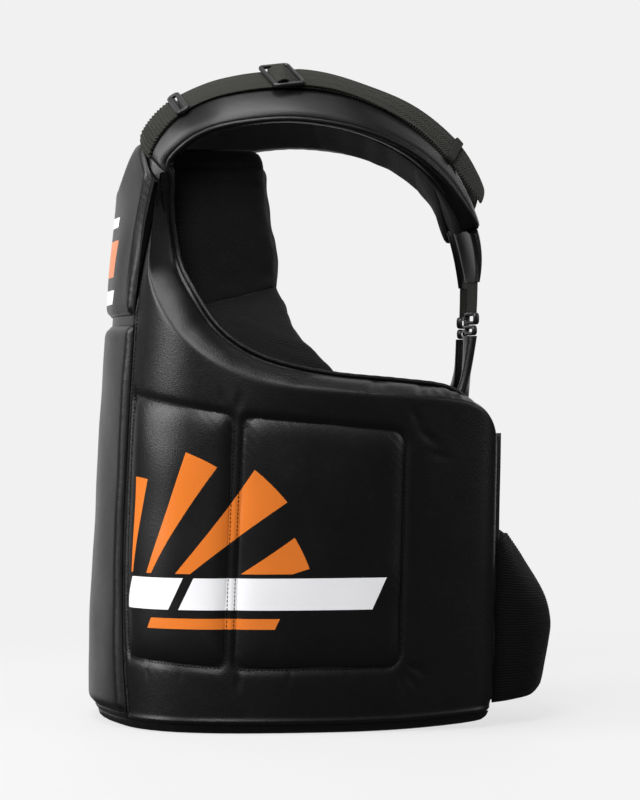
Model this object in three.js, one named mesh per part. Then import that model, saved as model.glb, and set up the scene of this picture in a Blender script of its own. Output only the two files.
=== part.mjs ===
// Padded torso protector in millimetres: +Z is up, the wearer's front is -Y and the wearer's left is +X.
// Two coordinates run over the padded wall: wrap, the length round it from the front centre, and height.
import * as THREE from "three";

// Driving sizes of the wall
const FRONT_Y = -181.5;
const REAR_WRAP = 546;
const PLAN_END = 575;
const HEM_TOP = 9;
const REAR_REACH = { from: 470, to: 546, back: 5.5 };
const HEM_RISE = { from: 385, lift: 7 };
const LEAN = { from: 50, span: 383, shift: 20, power: 1.25, rear: 0.02 };
const UPPER_TAPER = { from: 420, to: 540, loss: 0.44 };
const ROUND = {
  rear: { reach: 26, drop: 12 },
  hem: { reach: 5, drop: 2.2 },
  seam: { reach: 10, drop: 5 },
  rim: { reach: 12, drop: 5 },
};
const SEAM_GAP = 0.5;
const SEAT = 0.8;

// Driving sizes of the pads, lining and edges
const COLUMN_PAD = { inset: 3, edge: 1.5, proud: 3.5, crown: 1, reach: 11 };
const CHEST_FADE = { from: 430, to: 520, loss: 0.7 };
const BELLY = { low: 15, high: 388 };
const CHEST = { low: 397, below_top: 6 };
const SIDE_PAD = { edge: 1.2, proud: 7, reach: 20 };
const PAD_CHANNEL = { front: 275, rear: 285 };
const PAD_SEAM_INSET = 11;
const PAD_REAR_WRAP = 444;
const LINING = { gap: 0.8, thick: 3, seam: 400, seam_gap: 1 };
const SIDE_LINING = { from: 228, to: 515, rim_from: 195, inset: 8 };
const CUSHION_SHAPE = { gap: 2, square: 5, tilt: 0.24, tilt_reach: 90, share: 0.65, below_top: 14, top: 541 };
const BINDING = { radius: 2.4, gap: 1.2, armhole_gap: 2.0, armhole_depth: 2, sides: 6 };
const BINDING_RUN = {
  armhole: { from: 0.01, to: 0.99 },
  yoke: { from: 0.06, to: 0.96 },
  neck: { from: -0.64, to: 0.64 },
};
const WELT = { end: 545, inset: 3, inner: 4, gap: 0.5, tuck: 1 };

// Driving sizes of the yokes, straps and belt
const YOKE = { edge: 8, thick: 18, crown: 5, end: 0.93, taper: 0.8 };
const STRAP = { from_neck: 4, width: 38, lift: 0.9, thick: 2 };
const STRAP_RUN = { start: 0.01, end: 0.86, tail_start: 0.425, tail_end: 0.945 };
const FITTING_AT = { ring: 0.135, slider: 0.382, keeper: 0.83 };
const RING = { length: 14, width: 46, bar: 4, thick: 4, corner: 3, gap: 0.8 };
const SLIDER = { length: 32, width: 50, bar: 4, slot_step: 0.2, thick: 4, corner: 3, stand: 0.5 };
const KEEPER = { length: 9, wall: 1.4, clear: 2.4, corner: 1.2 };
const BACK_TAB = { gap: 0.6, reach: 26, from: 0.06, to: 0.96, lift: -9.5, thick: 10 };
const BACK_TAB_END = { height: 430, half: 13, thick: 4 };
const BUCKLE = { corner: 4, slot: 3, slot_width: 16 };
const SOCKET = { height: 394.5, length: 12, width: 25, thick: 6, slot_at: -2 };
const PLUG = { height: 383, length: 10, width: 23, thick: 5, slot_at: 1 };
const FLAP = { from: 546.5, to: 551, low: 30, high: 264, depth: -15, thick: 3 };
const BELT = { wrap: 552, depth: -16.5, thick: 2.4, top: 195, sag: 14, bottom: 22, rise: 5 };

// The way the wall faces, in degrees from straight ahead, along its wrap
const TURN = [
  { wrap: 0, facing: 0 },
  { wrap: 75, facing: 15.5 },
  { wrap: 150, facing: 26 },
  { wrap: 280, facing: 87 },
  { wrap: 460, facing: 110 },
  { wrap: 546, facing: 125 },
  { wrap: 575, facing: 126 },
];
// Thickness of the padded wall along its wrap
const WALL = [
  { wrap: 0, thick: 34 },
  { wrap: 155, thick: 34 },
  { wrap: 225, thick: 40 },
  { wrap: 495, thick: 40 },
  { wrap: 546, thick: 33 },
];
// Seam between the front panel and the side panel
const SEAM = [
  { height: 16, wrap: 163 },
  { height: 60, wrap: 155 },
  { height: 120, wrap: 146 },
  { height: 200, wrap: 140 },
  { height: 400, wrap: 139 },
  { height: 440, wrap: 143 },
  { height: 480, wrap: 151 },
  { height: 512, wrap: 163 },
  { height: 531, wrap: 171 },
];
// Top of the side panel from the shoulder round the armhole to the rear: its ridge, and the rise inside it
const RIM = [
  { wrap: 171.5, ridge: 531, rise: 0 },
  { wrap: 164, ridge: 500, rise: 3 },
  { wrap: 162, ridge: 465, rise: 8 },
  { wrap: 168, ridge: 432, rise: 16 },
  { wrap: 195, ridge: 398, rise: 24 },
  { wrap: 233, ridge: 367, rise: 23 },
  { wrap: 270, ridge: 346, rise: 22 },
  { wrap: 310, ridge: 332, rise: 20 },
  { wrap: 375, ridge: 324, rise: 15 },
  { wrap: 455, ridge: 319, rise: 13 },
  { wrap: 505, ridge: 314, rise: 12 },
  { wrap: 528, ridge: 303, rise: 9 },
  { wrap: 541, ridge: 284, rise: 4 },
  { wrap: 546, ridge: 262, rise: 0 },
];
// Top of the front panel: a scooped neckline, then the shoulder seam, by share of the way to the side seam
const FRONT_TOP = [
  { share: -0.3, height: 538 },
  { share: 0, height: 535 },
  { share: 0.3, height: 538 },
  { share: 0.5, height: 543 },
  { share: 0.6, height: 546 },
  { share: 0.663, height: 549 },
  { share: 0.708, height: 559 },
  { share: 0.775, height: 553 },
  { share: 0.888, height: 541.5 },
  { share: 1, height: 531 },
];
// The front lining by height at the wall: half its wrap, and how deep its cushion stands behind the wall
const CUSHION = [
  { height: 26, half: 225, deep: 0 },
  { height: 110, half: 225, deep: 0 },
  { height: 150, half: 225, deep: 2 },
  { height: 195, half: 225, deep: 16 },
  { height: 240, half: 225, deep: 60 },
  { height: 285, half: 224, deep: 125 },
  { height: 320, half: 222, deep: 165 },
  { height: 335, half: 221, deep: 155 },
  { height: 345, half: 216, deep: 142 },
  { height: 362, half: 194, deep: 128 },
  { height: 382, half: 162, deep: 123 },
  { height: 400, half: 136, deep: 118 },
  { height: 470, half: 136, deep: 114 },
  { height: 541, half: 134, deep: 110 },
];
// Sections of the left yoke over the shoulder, from its neck edge to its outer rim
const YOKE_SECTIONS = [
  { neck_x: 112, neck_y: -127, neck_z: 566, rim_x: 159, rim_y: -107, rim_z: 533 },
  { neck_x: 112, neck_y: -126, neck_z: 577, rim_x: 159, rim_y: -106, rim_z: 544 },
  { neck_x: 115, neck_y: -111, neck_z: 596, rim_x: 170, rim_y: -89, rim_z: 561 },
  { neck_x: 115, neck_y: -88, neck_z: 612, rim_x: 176, rim_y: -70, rim_z: 573 },
  { neck_x: 114, neck_y: -52, neck_z: 626, rim_x: 179, rim_y: -43, rim_z: 581 },
  { neck_x: 107, neck_y: -2, neck_z: 634, rim_x: 174, rim_y: 11, rim_z: 587 },
  { neck_x: 98, neck_y: 45, neck_z: 632, rim_x: 165, rim_y: 59, rim_z: 583 },
  { neck_x: 88, neck_y: 88, neck_z: 618, rim_x: 156, rim_y: 100, rim_z: 573 },
  { neck_x: 77, neck_y: 129, neck_z: 596, rim_x: 144, rim_y: 137, rim_z: 556 },
  { neck_x: 67, neck_y: 160, neck_z: 564, rim_x: 131, rim_y: 167, rim_z: 532 },
  { neck_x: 61, neck_y: 176, neck_z: 528, rim_x: 119, rim_y: 190, rim_z: 503 },
  { neck_x: 56, neck_y: 182, neck_z: 492, rim_x: 108, rim_y: 203, rim_z: 480 },
];
// Height of the strap's free tail above the yoke, by its place along the yoke
const TAIL_LIFT = [
  { along: 0.425, lift: 3.6 },
  { along: 0.62, lift: 3.6 },
  { along: 0.78, lift: 6.5 },
  { along: 0.9, lift: 13 },
  { along: 0.98, lift: 19 },
];
// The run from the yoke's rear end down to the side panel: place, and turn of its width from +X towards -Y
const BACK_RUN = [
  { height: 477, x: 84, y: 194, turn: -28 },
  { height: 410, x: 92, y: 193, turn: -24 },
  { height: 378, x: 95, y: 191, turn: -18 },
  { height: 335, x: 98, y: 186, turn: 8 },
];
const BACK_SEAT = { wrap: 523, upper: 296, lower: 262, stand: 6.8, turn: 59 };
// Half-widths and thickness of the webbing on that run, each piece from one height down to the next
const BACK_WEBS = [
  { name: "buckle_web", from: 429.5, to: 401, half_from: 10, half_to: 10, thick: 2.4, rows: 2 },
  { name: "back_strap", from: 377.5, to: 262, half_from: 12, half_to: 10, thick: 8, rows: 10 },
];
// Bulge of the slack belt behind its sewn ends, by height
const BELT_BULGE = [
  { height: 22, bulge: 46 },
  { height: 27, bulge: 49 },
  { height: 33, bulge: 53 },
  { height: 52, bulge: 58 },
  { height: 73, bulge: 61 },
  { height: 95, bulge: 61 },
  { height: 124, bulge: 54 },
  { height: 159, bulge: 32 },
  { height: 186, bulge: 11 },
  { height: 195, bulge: 7 },
];

const LEATHER = { color: 0x1c1c1f, roughness: 0.45, metalness: 0 };
const LINING_MESH = { color: 0x1b1b1a, roughness: 0.9, metalness: 0 };
const WEBBING = { color: 0x1d1d1b, roughness: 0.85, metalness: 0 };
const PLASTIC = { color: 0x19191b, roughness: 0.35, metalness: 0 };

const { clamp, degToRad, lerp, smoothstep } = THREE.MathUtils;

// Smooth value of a table's column at a value of its key column
function look(table, key, value, column) {
  const last = table.length - 1;
  const at = clamp(value, table[0][key], table[last][key]);
  let i = 0;
  while (i < last - 1 && at > table[i + 1][key]) i++;
  const slope = (k) => {
    const before = table[Math.max(k - 1, 0)];
    const after = table[Math.min(k + 1, last)];
    return (after[column] - before[column]) / (after[key] - before[key]);
  };
  const span = table[i + 1][key] - table[i][key];
  const t = (at - table[i][key]) / span;
  const ease = t * t * (3 - 2 * t);
  const leave = t * (1 - t) * (1 - t) * span * slope(i);
  const arrive = t * t * (t - 1) * span * slope(i + 1);
  return lerp(table[i][column], table[i + 1][column], ease) + leave + arrive;
}

// Even shares from 0 to 1, and the shares of one half continued over its mirrored twin
const shares = (count) => Array.from({ length: count + 1 }, (_, i) => i / count);
const bothHalves = (half) => [...half.slice(1).toReversed().map((q) => -q), ...half];

// Quarter-round profile: 0 at an edge, 1 once the reach is passed
function quarter(distance, reach) {
  const t = clamp(1 - distance / reach, 0, 1);
  return Math.sqrt(1 - t * t);
}

// A closed solid from points and triangles, turned to face outwards
function closedSolid(points, faces) {
  const normal = new THREE.Vector3();
  let volume = 0;
  for (let i = 0; i < faces.length; i += 3) {
    const [a, b, c] = [points[faces[i]], points[faces[i + 1]], points[faces[i + 2]]];
    volume += a.dot(normal.crossVectors(b, c));
  }
  const outward = volume > 0 ? faces : faces.toReversed();
  const geometry = new THREE.BufferGeometry().setFromPoints(points);
  geometry.setIndex(outward);
  geometry.computeVertexNormals();
  return geometry;
}

// A closed wall between an outer and an inner face, each given over two lists of shares
function slab(us, vs, outer, inner) {
  const points = [];
  for (const face of [outer, inner]) {
    for (const u of us) points.push(...vs.map((v) => face(u, v)));
  }
  const lastU = us.length - 1;
  const lastV = vs.length - 1;
  const at = (side, i, j) => (side * us.length + i) * vs.length + j;
  const faces = [];
  const quad = (a, b, c, d) => faces.push(a, b, c, a, c, d);
  for (let i = 0; i < lastU; i++) {
    for (let j = 0; j < lastV; j++) {
      quad(at(0, i, j), at(0, i + 1, j), at(0, i + 1, j + 1), at(0, i, j + 1));
      quad(at(1, i, j), at(1, i, j + 1), at(1, i + 1, j + 1), at(1, i + 1, j));
    }
    quad(at(0, i, 0), at(1, i, 0), at(1, i + 1, 0), at(0, i + 1, 0));
    quad(at(0, i, lastV), at(0, i + 1, lastV), at(1, i + 1, lastV), at(1, i, lastV));
  }
  for (let j = 0; j < lastV; j++) {
    quad(at(0, 0, j), at(0, 0, j + 1), at(1, 0, j + 1), at(1, 0, j));
    quad(at(0, lastU, j), at(1, lastU, j), at(1, lastU, j + 1), at(0, lastU, j + 1));
  }
  return closedSolid(points, faces);
}

// A round cord of piping through points
function piping(points, steps) {
  const section = new THREE.Shape();
  section.absarc(0, 0, BINDING.radius, 0, 2 * Math.PI);
  return new THREE.ExtrudeGeometry(section, {
    steps,
    curveSegments: BINDING.sides / 2,
    bevelEnabled: false,
    extrudePath: new THREE.CatmullRomCurve3(points),
  });
}

// A flat plate with rounded corners and slots, centred, with its thickness along Z
function plate(length, width, thick, corner, slots) {
  const outline = new THREE.Shape();
  const [x, y] = [length / 2, width / 2];
  outline.moveTo(corner - x, -y);
  outline.lineTo(x - corner, -y).quadraticCurveTo(x, -y, x, corner - y);
  outline.lineTo(x, y - corner).quadraticCurveTo(x, y, x - corner, y);
  outline.lineTo(corner - x, y).quadraticCurveTo(-x, y, -x, y - corner);
  outline.lineTo(-x, corner - y).quadraticCurveTo(-x, -y, corner - x, -y);
  for (const slot of slots) {
    const hole = new THREE.Path();
    const [low, high] = [slot.middle - slot.length / 2, slot.middle + slot.length / 2];
    hole.moveTo(low, -slot.width / 2);
    hole.lineTo(low, slot.width / 2).lineTo(high, slot.width / 2).lineTo(high, -slot.width / 2);
    outline.holes.push(hole);
  }
  const made = new THREE.ExtrudeGeometry(outline, { depth: thick, bevelEnabled: false, curveSegments: 3 });
  return made.translate(0, 0, -thick / 2);
}

// The plan of the wall's outer face, one millimetre of wrap at a time
const plan = [{ x: 0, y: FRONT_Y, facing: 0 }];
for (let wrap = 1; wrap <= PLAN_END; wrap++) {
  const last = plan.at(-1);
  const facing = degToRad(look(TURN, "wrap", wrap - 0.5, "facing"));
  plan.push({ x: last.x + Math.cos(facing), y: last.y + Math.sin(facing), facing });
}
const REAR_Y = plan[REAR_WRAP].y;

// A point of the wall: wrap is negative on the wearer's right, and depth is positive outwards
function wallPoint(wrap, height, depth) {
  const length = Math.abs(wrap);
  const step = Math.min(Math.floor(length), PLAN_END - 1);
  const part = length - step;
  const [a, b] = [plan[step], plan[step + 1]];
  const facing = lerp(a.facing, b.facing, part);
  const x = lerp(a.x, b.x, part) + depth * Math.sin(facing);
  const y = lerp(a.y, b.y, part) - depth * Math.cos(facing);
  const forward = clamp((REAR_Y - y) / (REAR_Y - FRONT_Y), 0, 1);
  const lean = LEAN.shift * (Math.max(height - LEAN.from, 0) / LEAN.span) ** LEAN.power;
  const back = forward * lean + (1 - forward) * LEAN.rear * height;
  const reach = REAR_REACH.back * smoothstep(length, REAR_REACH.from, REAR_REACH.to);
  return new THREE.Vector3(Math.sign(wrap) * x, y + back + reach, height);
}

const seamWrap = (height) => look(SEAM, "height", height, "wrap");

function hemRise(wrap) {
  const past = Math.max(Math.abs(wrap) - HEM_RISE.from, 0) / (REAR_WRAP - HEM_RISE.from);
  return HEM_RISE.lift * past * past;
}

function wallThick(wrap, height) {
  const taper = 1 - UPPER_TAPER.loss * smoothstep(height, UPPER_TAPER.from, UPPER_TAPER.to);
  return look(WALL, "wrap", Math.abs(wrap), "thick") * taper;
}

// Length along the rim, so that it can be shared out evenly
let rimLength = 0;
RIM.forEach((row, i) => {
  const before = RIM[Math.max(i - 1, 0)];
  rimLength += Math.hypot(row.wrap - before.wrap, row.ridge - before.ridge);
  row.run = rimLength;
});
const rim = (u, column) => look(RIM, "run", u * rimLength, column);

// Place on the side panel of a share u from seam to rear edge and a share v from hem to rim
function sidePlace(u, v) {
  const seam = (t) => {
    const height = lerp(HEM_TOP, RIM[0].ridge, t);
    return { wrap: seamWrap(height) + SEAM_GAP, height };
  };
  const hem = (t) => {
    const wrap = lerp(seamWrap(HEM_TOP) + SEAM_GAP, REAR_WRAP, t);
    return { wrap, height: HEM_TOP + hemRise(wrap) };
  };
  const rear = (t) => ({ wrap: REAR_WRAP, height: lerp(hem(1).height, RIM.at(-1).ridge, t) });
  const top = (t) => ({ wrap: rim(t, "wrap"), height: rim(t, "ridge") });
  const mix = (column) => {
    const edges =
      lerp(hem(u)[column], top(u)[column], v) + lerp(seam(v)[column], rear(v)[column], u);
    const low = lerp(seam(0)[column], rear(0)[column], u);
    const high = lerp(seam(1)[column], rear(1)[column], u);
    return edges - lerp(low, high, v);
  };
  const place = { wrap: mix("wrap"), height: mix("height") };
  place.to_rim = (1 - v) * (top(u).height - hem(u).height);
  place.rise = rim(u, "rise") * v ** 6;
  return place;
}

const drop = (kind, distance) => ROUND[kind].drop * (1 - quarter(distance, ROUND[kind].reach));

function sideOuter(u, v) {
  const { wrap, height, to_rim } = sidePlace(u, v);
  const depth =
    drop("rear", REAR_WRAP - wrap) +
    drop("hem", height - HEM_TOP - hemRise(wrap)) +
    drop("seam", wrap - seamWrap(height)) +
    drop("rim", to_rim);
  return wallPoint(wrap, height, -Math.min(depth, ROUND.rear.drop + 2));
}

function sideInner(u, v) {
  const { wrap, height, rise } = sidePlace(u, v);
  const depth = wallThick(wrap, height) - drop("rear", REAR_WRAP - wrap);
  return wallPoint(wrap, height + rise, -depth);
}

// Place on the front panel: share q from the right seam (-1) to the left seam (1), and share v of the height
function frontPlace(q, v) {
  const height = lerp(HEM_TOP, look(FRONT_TOP, "share", Math.abs(q), "height"), v);
  return { wrap: q * (seamWrap(height) - SEAM_GAP), height };
}

function frontOuter(q, v) {
  const { wrap, height } = frontPlace(q, v);
  return wallPoint(wrap, height, -drop("hem", height - HEM_TOP));
}

function frontInner(q, v) {
  const { wrap, height } = frontPlace(q, v);
  return wallPoint(wrap, height, -wallThick(wrap, height));
}

// A pad of the front column between two heights, each given by its share from the centre to the seam
function columnPad(half, low, high) {
  const place = (q, v) => {
    const height = lerp(low(Math.abs(q)), high(Math.abs(q)), v);
    const reach = seamWrap(height) - COLUMN_PAD.inset;
    const ends = Math.min(v, 1 - v) * (high(0) - low(0));
    const sides = (1 - Math.abs(q)) * reach;
    const rise = quarter(ends, COLUMN_PAD.reach) * quarter(sides, COLUMN_PAD.reach);
    const fade = 1 - CHEST_FADE.loss * smoothstep(height, CHEST_FADE.from, CHEST_FADE.to);
    return { wrap: q * reach, height, rise: rise * fade };
  };
  const outer = (q, v) => {
    const { wrap, height, rise } = place(q, v);
    const depth = SEAT + COLUMN_PAD.edge + rise * (COLUMN_PAD.proud + COLUMN_PAD.crown * (1 - q * q));
    return wallPoint(wrap, height, depth);
  };
  const inner = (q, v) => {
    const { wrap, height } = place(q, v);
    return wallPoint(wrap, height, SEAT);
  };
  return slab(bothHalves(half), PAD_VS, outer, inner);
}

// A stitched pad on the side panel between two edges, its top sloping down to the rear
function sidePad(us, left, right, low, high) {
  const place = (u, v) => {
    const height = lerp(lerp(low.front, low.rear, u), lerp(high.front, high.rear, u), v);
    const wrap = lerp(left(height), right(height), u);
    const sides = Math.min(u, 1 - u) * (right(height) - left(height));
    const ends = Math.min(v, 1 - v) * (high.rear - low.rear);
    return { wrap, height, rise: quarter(sides, SIDE_PAD.reach) * quarter(ends, SIDE_PAD.reach) };
  };
  const outer = (u, v) => {
    const { wrap, height, rise } = place(u, v);
    return wallPoint(wrap, height, SEAT + SIDE_PAD.edge + SIDE_PAD.proud * rise);
  };
  const inner = (u, v) => {
    const { wrap, height } = place(u, v);
    return wallPoint(wrap, height, SEAT);
  };
  return slab(us, PAD_VS, outer, inner);
}

// Length along the middle of the yoke, so that its sections can be shared out evenly
let yokeLength = 0;
YOKE_SECTIONS.forEach((row, i) => {
  const before = YOKE_SECTIONS[Math.max(i - 1, 0)];
  const gone = ["x", "y", "z"].map(
    (axis) => (row["neck_" + axis] + row["rim_" + axis] - before["neck_" + axis] - before["rim_" + axis]) / 2,
  );
  yokeLength += Math.hypot(...gone);
  row.run = yokeLength;
});

function yokeEdge(along, edge) {
  const run = along * yokeLength;
  const axes = ["x", "y", "z"].map((axis) => look(YOKE_SECTIONS, "run", run, edge + "_" + axis));
  return new THREE.Vector3(...axes);
}

const yokeWidth = (along) => yokeEdge(along, "neck").distanceTo(yokeEdge(along, "rim"));

// Directions on the yoke: along it to the rear, across it to the rim, and up out of it
function yokeFrame(along) {
  const small = 0.004;
  const middle = (t) => yokeEdge(t, "neck").lerp(yokeEdge(t, "rim"), 0.5);
  const ahead = middle(Math.min(along + small, 1)).sub(middle(Math.max(along - small, 0))).normalize();
  const across = yokeEdge(along, "rim").sub(yokeEdge(along, "neck")).normalize();
  const up = across.clone().cross(ahead).normalize();
  return { ahead, across: ahead.clone().cross(up), up };
}

// A point over the yoke: share across from neck to rim, and lift above its crowned face
function yokePoint(along, share, lift) {
  const crown = YOKE.crown * Math.max(1 - (2 * share - 1) ** 2, 0);
  const base = yokeEdge(along, "neck").lerp(yokeEdge(along, "rim"), share);
  return base.addScaledVector(yokeFrame(along).up, crown + lift);
}

// The yoke narrows to a rounded rear end
function yokeShare(along, share) {
  const past = Math.max(along - YOKE.end, 0) / (1 - YOKE.end);
  return 0.5 + (share - 0.5) * Math.sqrt(1 - (YOKE.taper * past) ** 2);
}

const yokeDepth = (share) => lerp(YOKE.thick + YOKE.crown, YOKE.edge, Math.abs(2 * share - 1) ** 3);
const yokeUnder = (along, share, beyond) =>
  yokePoint(along, yokeShare(along, share), -yokeDepth(share) - beyond);

// A point of a strap over the yoke: share v across the strap from its neck side
const strapPoint = (along, v, lift) =>
  yokePoint(along, (STRAP.from_neck + STRAP.width * v) / yokeWidth(along), lift);

// A band of webbing that lies over the yoke between two stations
function yokeBand(stations, lift) {
  return slab(
    stations,
    shares(2),
    (along, v) => strapPoint(along, v, lift(along) + STRAP.thick),
    (along, v) => strapPoint(along, v, lift(along)),
  );
}

// The place of a fitting over the strap, turned to follow a lift that changes along the yoke
function fittingPlace(along, lift) {
  const small = 0.01;
  const at = (t, v) => strapPoint(t, v, lift(t));
  const ahead = at(along + small, 0.5).sub(at(along - small, 0.5)).normalize();
  const up = at(along, 1).sub(at(along, 0)).cross(ahead).normalize();
  const place = new THREE.Matrix4().makeBasis(ahead, up.clone().cross(ahead), up);
  return place.setPosition(at(along, 0.5));
}

// The back run at a height: its place and the direction of its width
const seatBehind = LINING.gap + LINING.thick + BACK_SEAT.stand;
const seatDepth = (height) => -wallThick(BACK_SEAT.wrap, height) - seatBehind;
const seatRow = (height) => {
  const { x, y } = wallPoint(BACK_SEAT.wrap, height, seatDepth(height));
  return { height, x, y, turn: BACK_SEAT.turn };
};
const backRun = [seatRow(BACK_SEAT.lower), seatRow(BACK_SEAT.upper), ...BACK_RUN.toReversed()];
function backPoint(height, across, out) {
  const [x, y, turn] = ["x", "y", "turn"].map((column) => look(backRun, "height", height, column));
  const angle = degToRad(-turn);
  const width = new THREE.Vector3(Math.cos(angle), Math.sin(angle), 0);
  const face = new THREE.Vector3(-Math.sin(angle), Math.cos(angle), 0);
  return new THREE.Vector3(x, y, height).addScaledVector(width, across).addScaledVector(face, out);
}

// A flat piece of webbing of the back run
function backWeb(web) {
  const half = (t) => lerp(web.half_from, web.half_to, t);
  const face = (side) => (t, v) =>
    backPoint(lerp(web.from, web.to, t), (2 * v - 1) * half(t), (side * web.thick) / 2);
  return slab(shares(web.rows), shares(2), face(1), face(-1));
}

// The padded tab that leaves the yoke's rear end along its run and turns down to the buckle
function backTab() {
  const { ahead } = yokeFrame(1);
  const face = (side) => (t, v) => {
    const share = lerp(BACK_TAB.from, BACK_TAB.to, v);
    const start = yokePoint(1, share, BACK_TAB.lift + (side * BACK_TAB.thick) / 2);
    start.addScaledVector(ahead, BACK_TAB.gap);
    const bend = start.clone().addScaledVector(ahead, BACK_TAB.reach);
    const { height, half, thick } = BACK_TAB_END;
    const end = backPoint(height, (2 * v - 1) * half, (side * thick) / 2);
    return new THREE.QuadraticBezierCurve3(start, bend, end).getPoint(t);
  };
  return slab(shares(5), shares(2), face(1), face(-1));
}

// The place of a buckle half on the back run
function bucklePlace(height) {
  const middle = backPoint(height, 0, 0);
  const across = backPoint(height, 1, 0).sub(middle);
  const out = backPoint(height, 0, 1).sub(middle);
  const down = across.clone().cross(out);
  return new THREE.Matrix4().makeBasis(down, across, out).setPosition(middle);
}

// The slack belt: a share p from its left end to its right end, and a share w from its top edge down
function beltPoint(p, w) {
  const swing = Math.sin(Math.PI * p);
  const height = lerp(BELT.top - BELT.sag * swing, BELT.bottom + BELT.rise * swing, w);
  const end = wallPoint(BELT.wrap, height, BELT.depth);
  const bulge = look(BELT_BULGE, "height", height, "bulge");
  return new THREE.Vector3(end.x * Math.cos(Math.PI * p), end.y + bulge * swing, height);
}

function beltFace(side) {
  const small = 0.01;
  return (p, w) => {
    const ahead = beltPoint(p + small, w).sub(beltPoint(p - small, w));
    const down = beltPoint(p, Math.min(w + small, 1)).sub(beltPoint(p, Math.max(w - small, 0)));
    const out = down.cross(ahead).normalize();
    return beltPoint(p, w).addScaledVector(out, (side * BELT.thick) / 2);
  };
}

// Shares used by the walls and the layers that follow them
const SIDE_US = [...shares(15).map((t) => 0.93 * t), 0.96, 0.98, 0.992, 1];
const WALL_VS = [0, 0.02, 0.06, 0.16, 0.32, 0.48, 0.62, 0.74, 0.83, 0.9, 0.95, 1];
const CUSHION_HALF = [0, 0.5, 0.78, 0.93, 1];
const CUSHION_LOW_ROWS = [26, 150, 195, 240, 285, 320, 345, 362, 382];
const CUSHION_HIGH_SHARES = [0, 0.4, 0.75, 1];
const FRONT_HALF = [0, 0.2, 0.4, 0.56, 0.66, 0.72, 0.86, 1];
const FRONT_QS = bothHalves(FRONT_HALF);
const BELLY_HALF = [0, 0.2, 0.4, 0.6, 0.8, 0.92, 0.97, 1];
const CHEST_HALF = [0, 0.2, 0.4, 0.56, 0.66, 0.72, 0.82, 0.91, 0.97, 1];
const FRONT_PAD_US = [0, 0.05, 0.15, 0.3, 0.45, 0.6, 0.75, 0.87, 0.95, 1];
const REAR_PAD_US = [0, 0.05, 0.16, 0.38, 0.62, 0.84, 0.95, 1];
const PAD_VS = [0, 0.02, 0.06, 0.25, 0.5, 0.75, 0.94, 0.98, 1];
const YOKE_STATIONS = shares(18);
const YOKE_SHARES = [0, 0.12, 0.35, 0.65, 0.88, 1];
const BELT_PS = shares(14);
const BELT_WS = shares(7);

const protector = new THREE.Group();
const leftSide = new THREE.Group();
const rightSide = new THREE.Group();
rightSide.scale.x = -1;
protector.add(leftSide, rightSide);

function add(group, name, geometry, finish, place) {
  const mesh = new THREE.Mesh(geometry, new THREE.MeshStandardMaterial(finish));
  mesh.name = name;
  if (place) mesh.applyMatrix4(place);
  group.add(mesh);
}

// A piece of the left side and its mirrored twin
function addPair(name, geometry, finish, place) {
  add(leftSide, name + "_left", geometry, finish, place);
  add(rightSide, name + "_right", geometry, finish, place);
}

// Padded walls
add(protector, "front_panel", slab(FRONT_QS, WALL_VS, frontOuter, frontInner), LEATHER);
addPair("side_panel", slab(SIDE_US, WALL_VS, sideOuter, sideInner), LEATHER);

// Pads of the front column and of the sides
const bellyPad = columnPad(
  BELLY_HALF,
  () => BELLY.low,
  () => BELLY.high,
);
const chestPad = columnPad(
  CHEST_HALF,
  () => CHEST.low,
  (q) => look(FRONT_TOP, "share", q, "height") - CHEST.below_top,
);
add(protector, "belly_pad", bellyPad, LEATHER);
add(protector, "chest_pad", chestPad, LEATHER);
const frontSidePad = sidePad(
  FRONT_PAD_US,
  (height) => seamWrap(height) + PAD_SEAM_INSET,
  () => PAD_CHANNEL.front,
  { front: 70, rear: 63 },
  { front: 321, rear: 301 },
);
const rearSidePad = sidePad(
  REAR_PAD_US,
  () => PAD_CHANNEL.rear,
  () => PAD_REAR_WRAP,
  { front: 62, rear: 62 },
  { front: 299, rear: 285 },
);
addPair("side_pad_front", frontSidePad, LEATHER);
addPair("side_pad_rear", rearSidePad, LEATHER);

// Rim under the walls
const weltFace = (depth) => (u, v) => {
  const wrap = lerp(-WELT.end, WELT.end, u);
  const height = hemRise(wrap) + v * (HEM_TOP - WELT.gap);
  return wallPoint(wrap, height, depth(wrap, height));
};
const welt = slab(
  shares(28),
  [0, 0.4, 1],
  weltFace((wrap, height) => -WELT.inset - drop("hem", height - hemRise(wrap) + WELT.tuck)),
  weltFace((wrap, height) => -wallThick(wrap, height) + WELT.inner),
);
add(protector, "hem_welt", welt, LEATHER);

// Lining of the sides, laid on the inner faces of their walls under the armholes
const underArm = RIM.filter((row) => row.wrap >= SIDE_LINING.rim_from);
const sideLiningFace = (beyond) => (s, t) => {
  const wrap = lerp(SIDE_LINING.from, SIDE_LINING.to, s);
  const [ridge, rise] = ["ridge", "rise"].map((column) => look(underArm, "wrap", wrap, column));
  const low = HEM_TOP + hemRise(wrap) + SIDE_LINING.inset;
  const height = lerp(low, ridge + rise - SIDE_LINING.inset, t);
  return wallPoint(wrap, height, -wallThick(wrap, height) - beyond);
};
const sideLining = slab(
  shares(11),
  shares(4),
  sideLiningFace(LINING.gap),
  sideLiningFace(LINING.gap + LINING.thick),
);
addPair("lining_side", sideLining, LINING_MESH);

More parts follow.
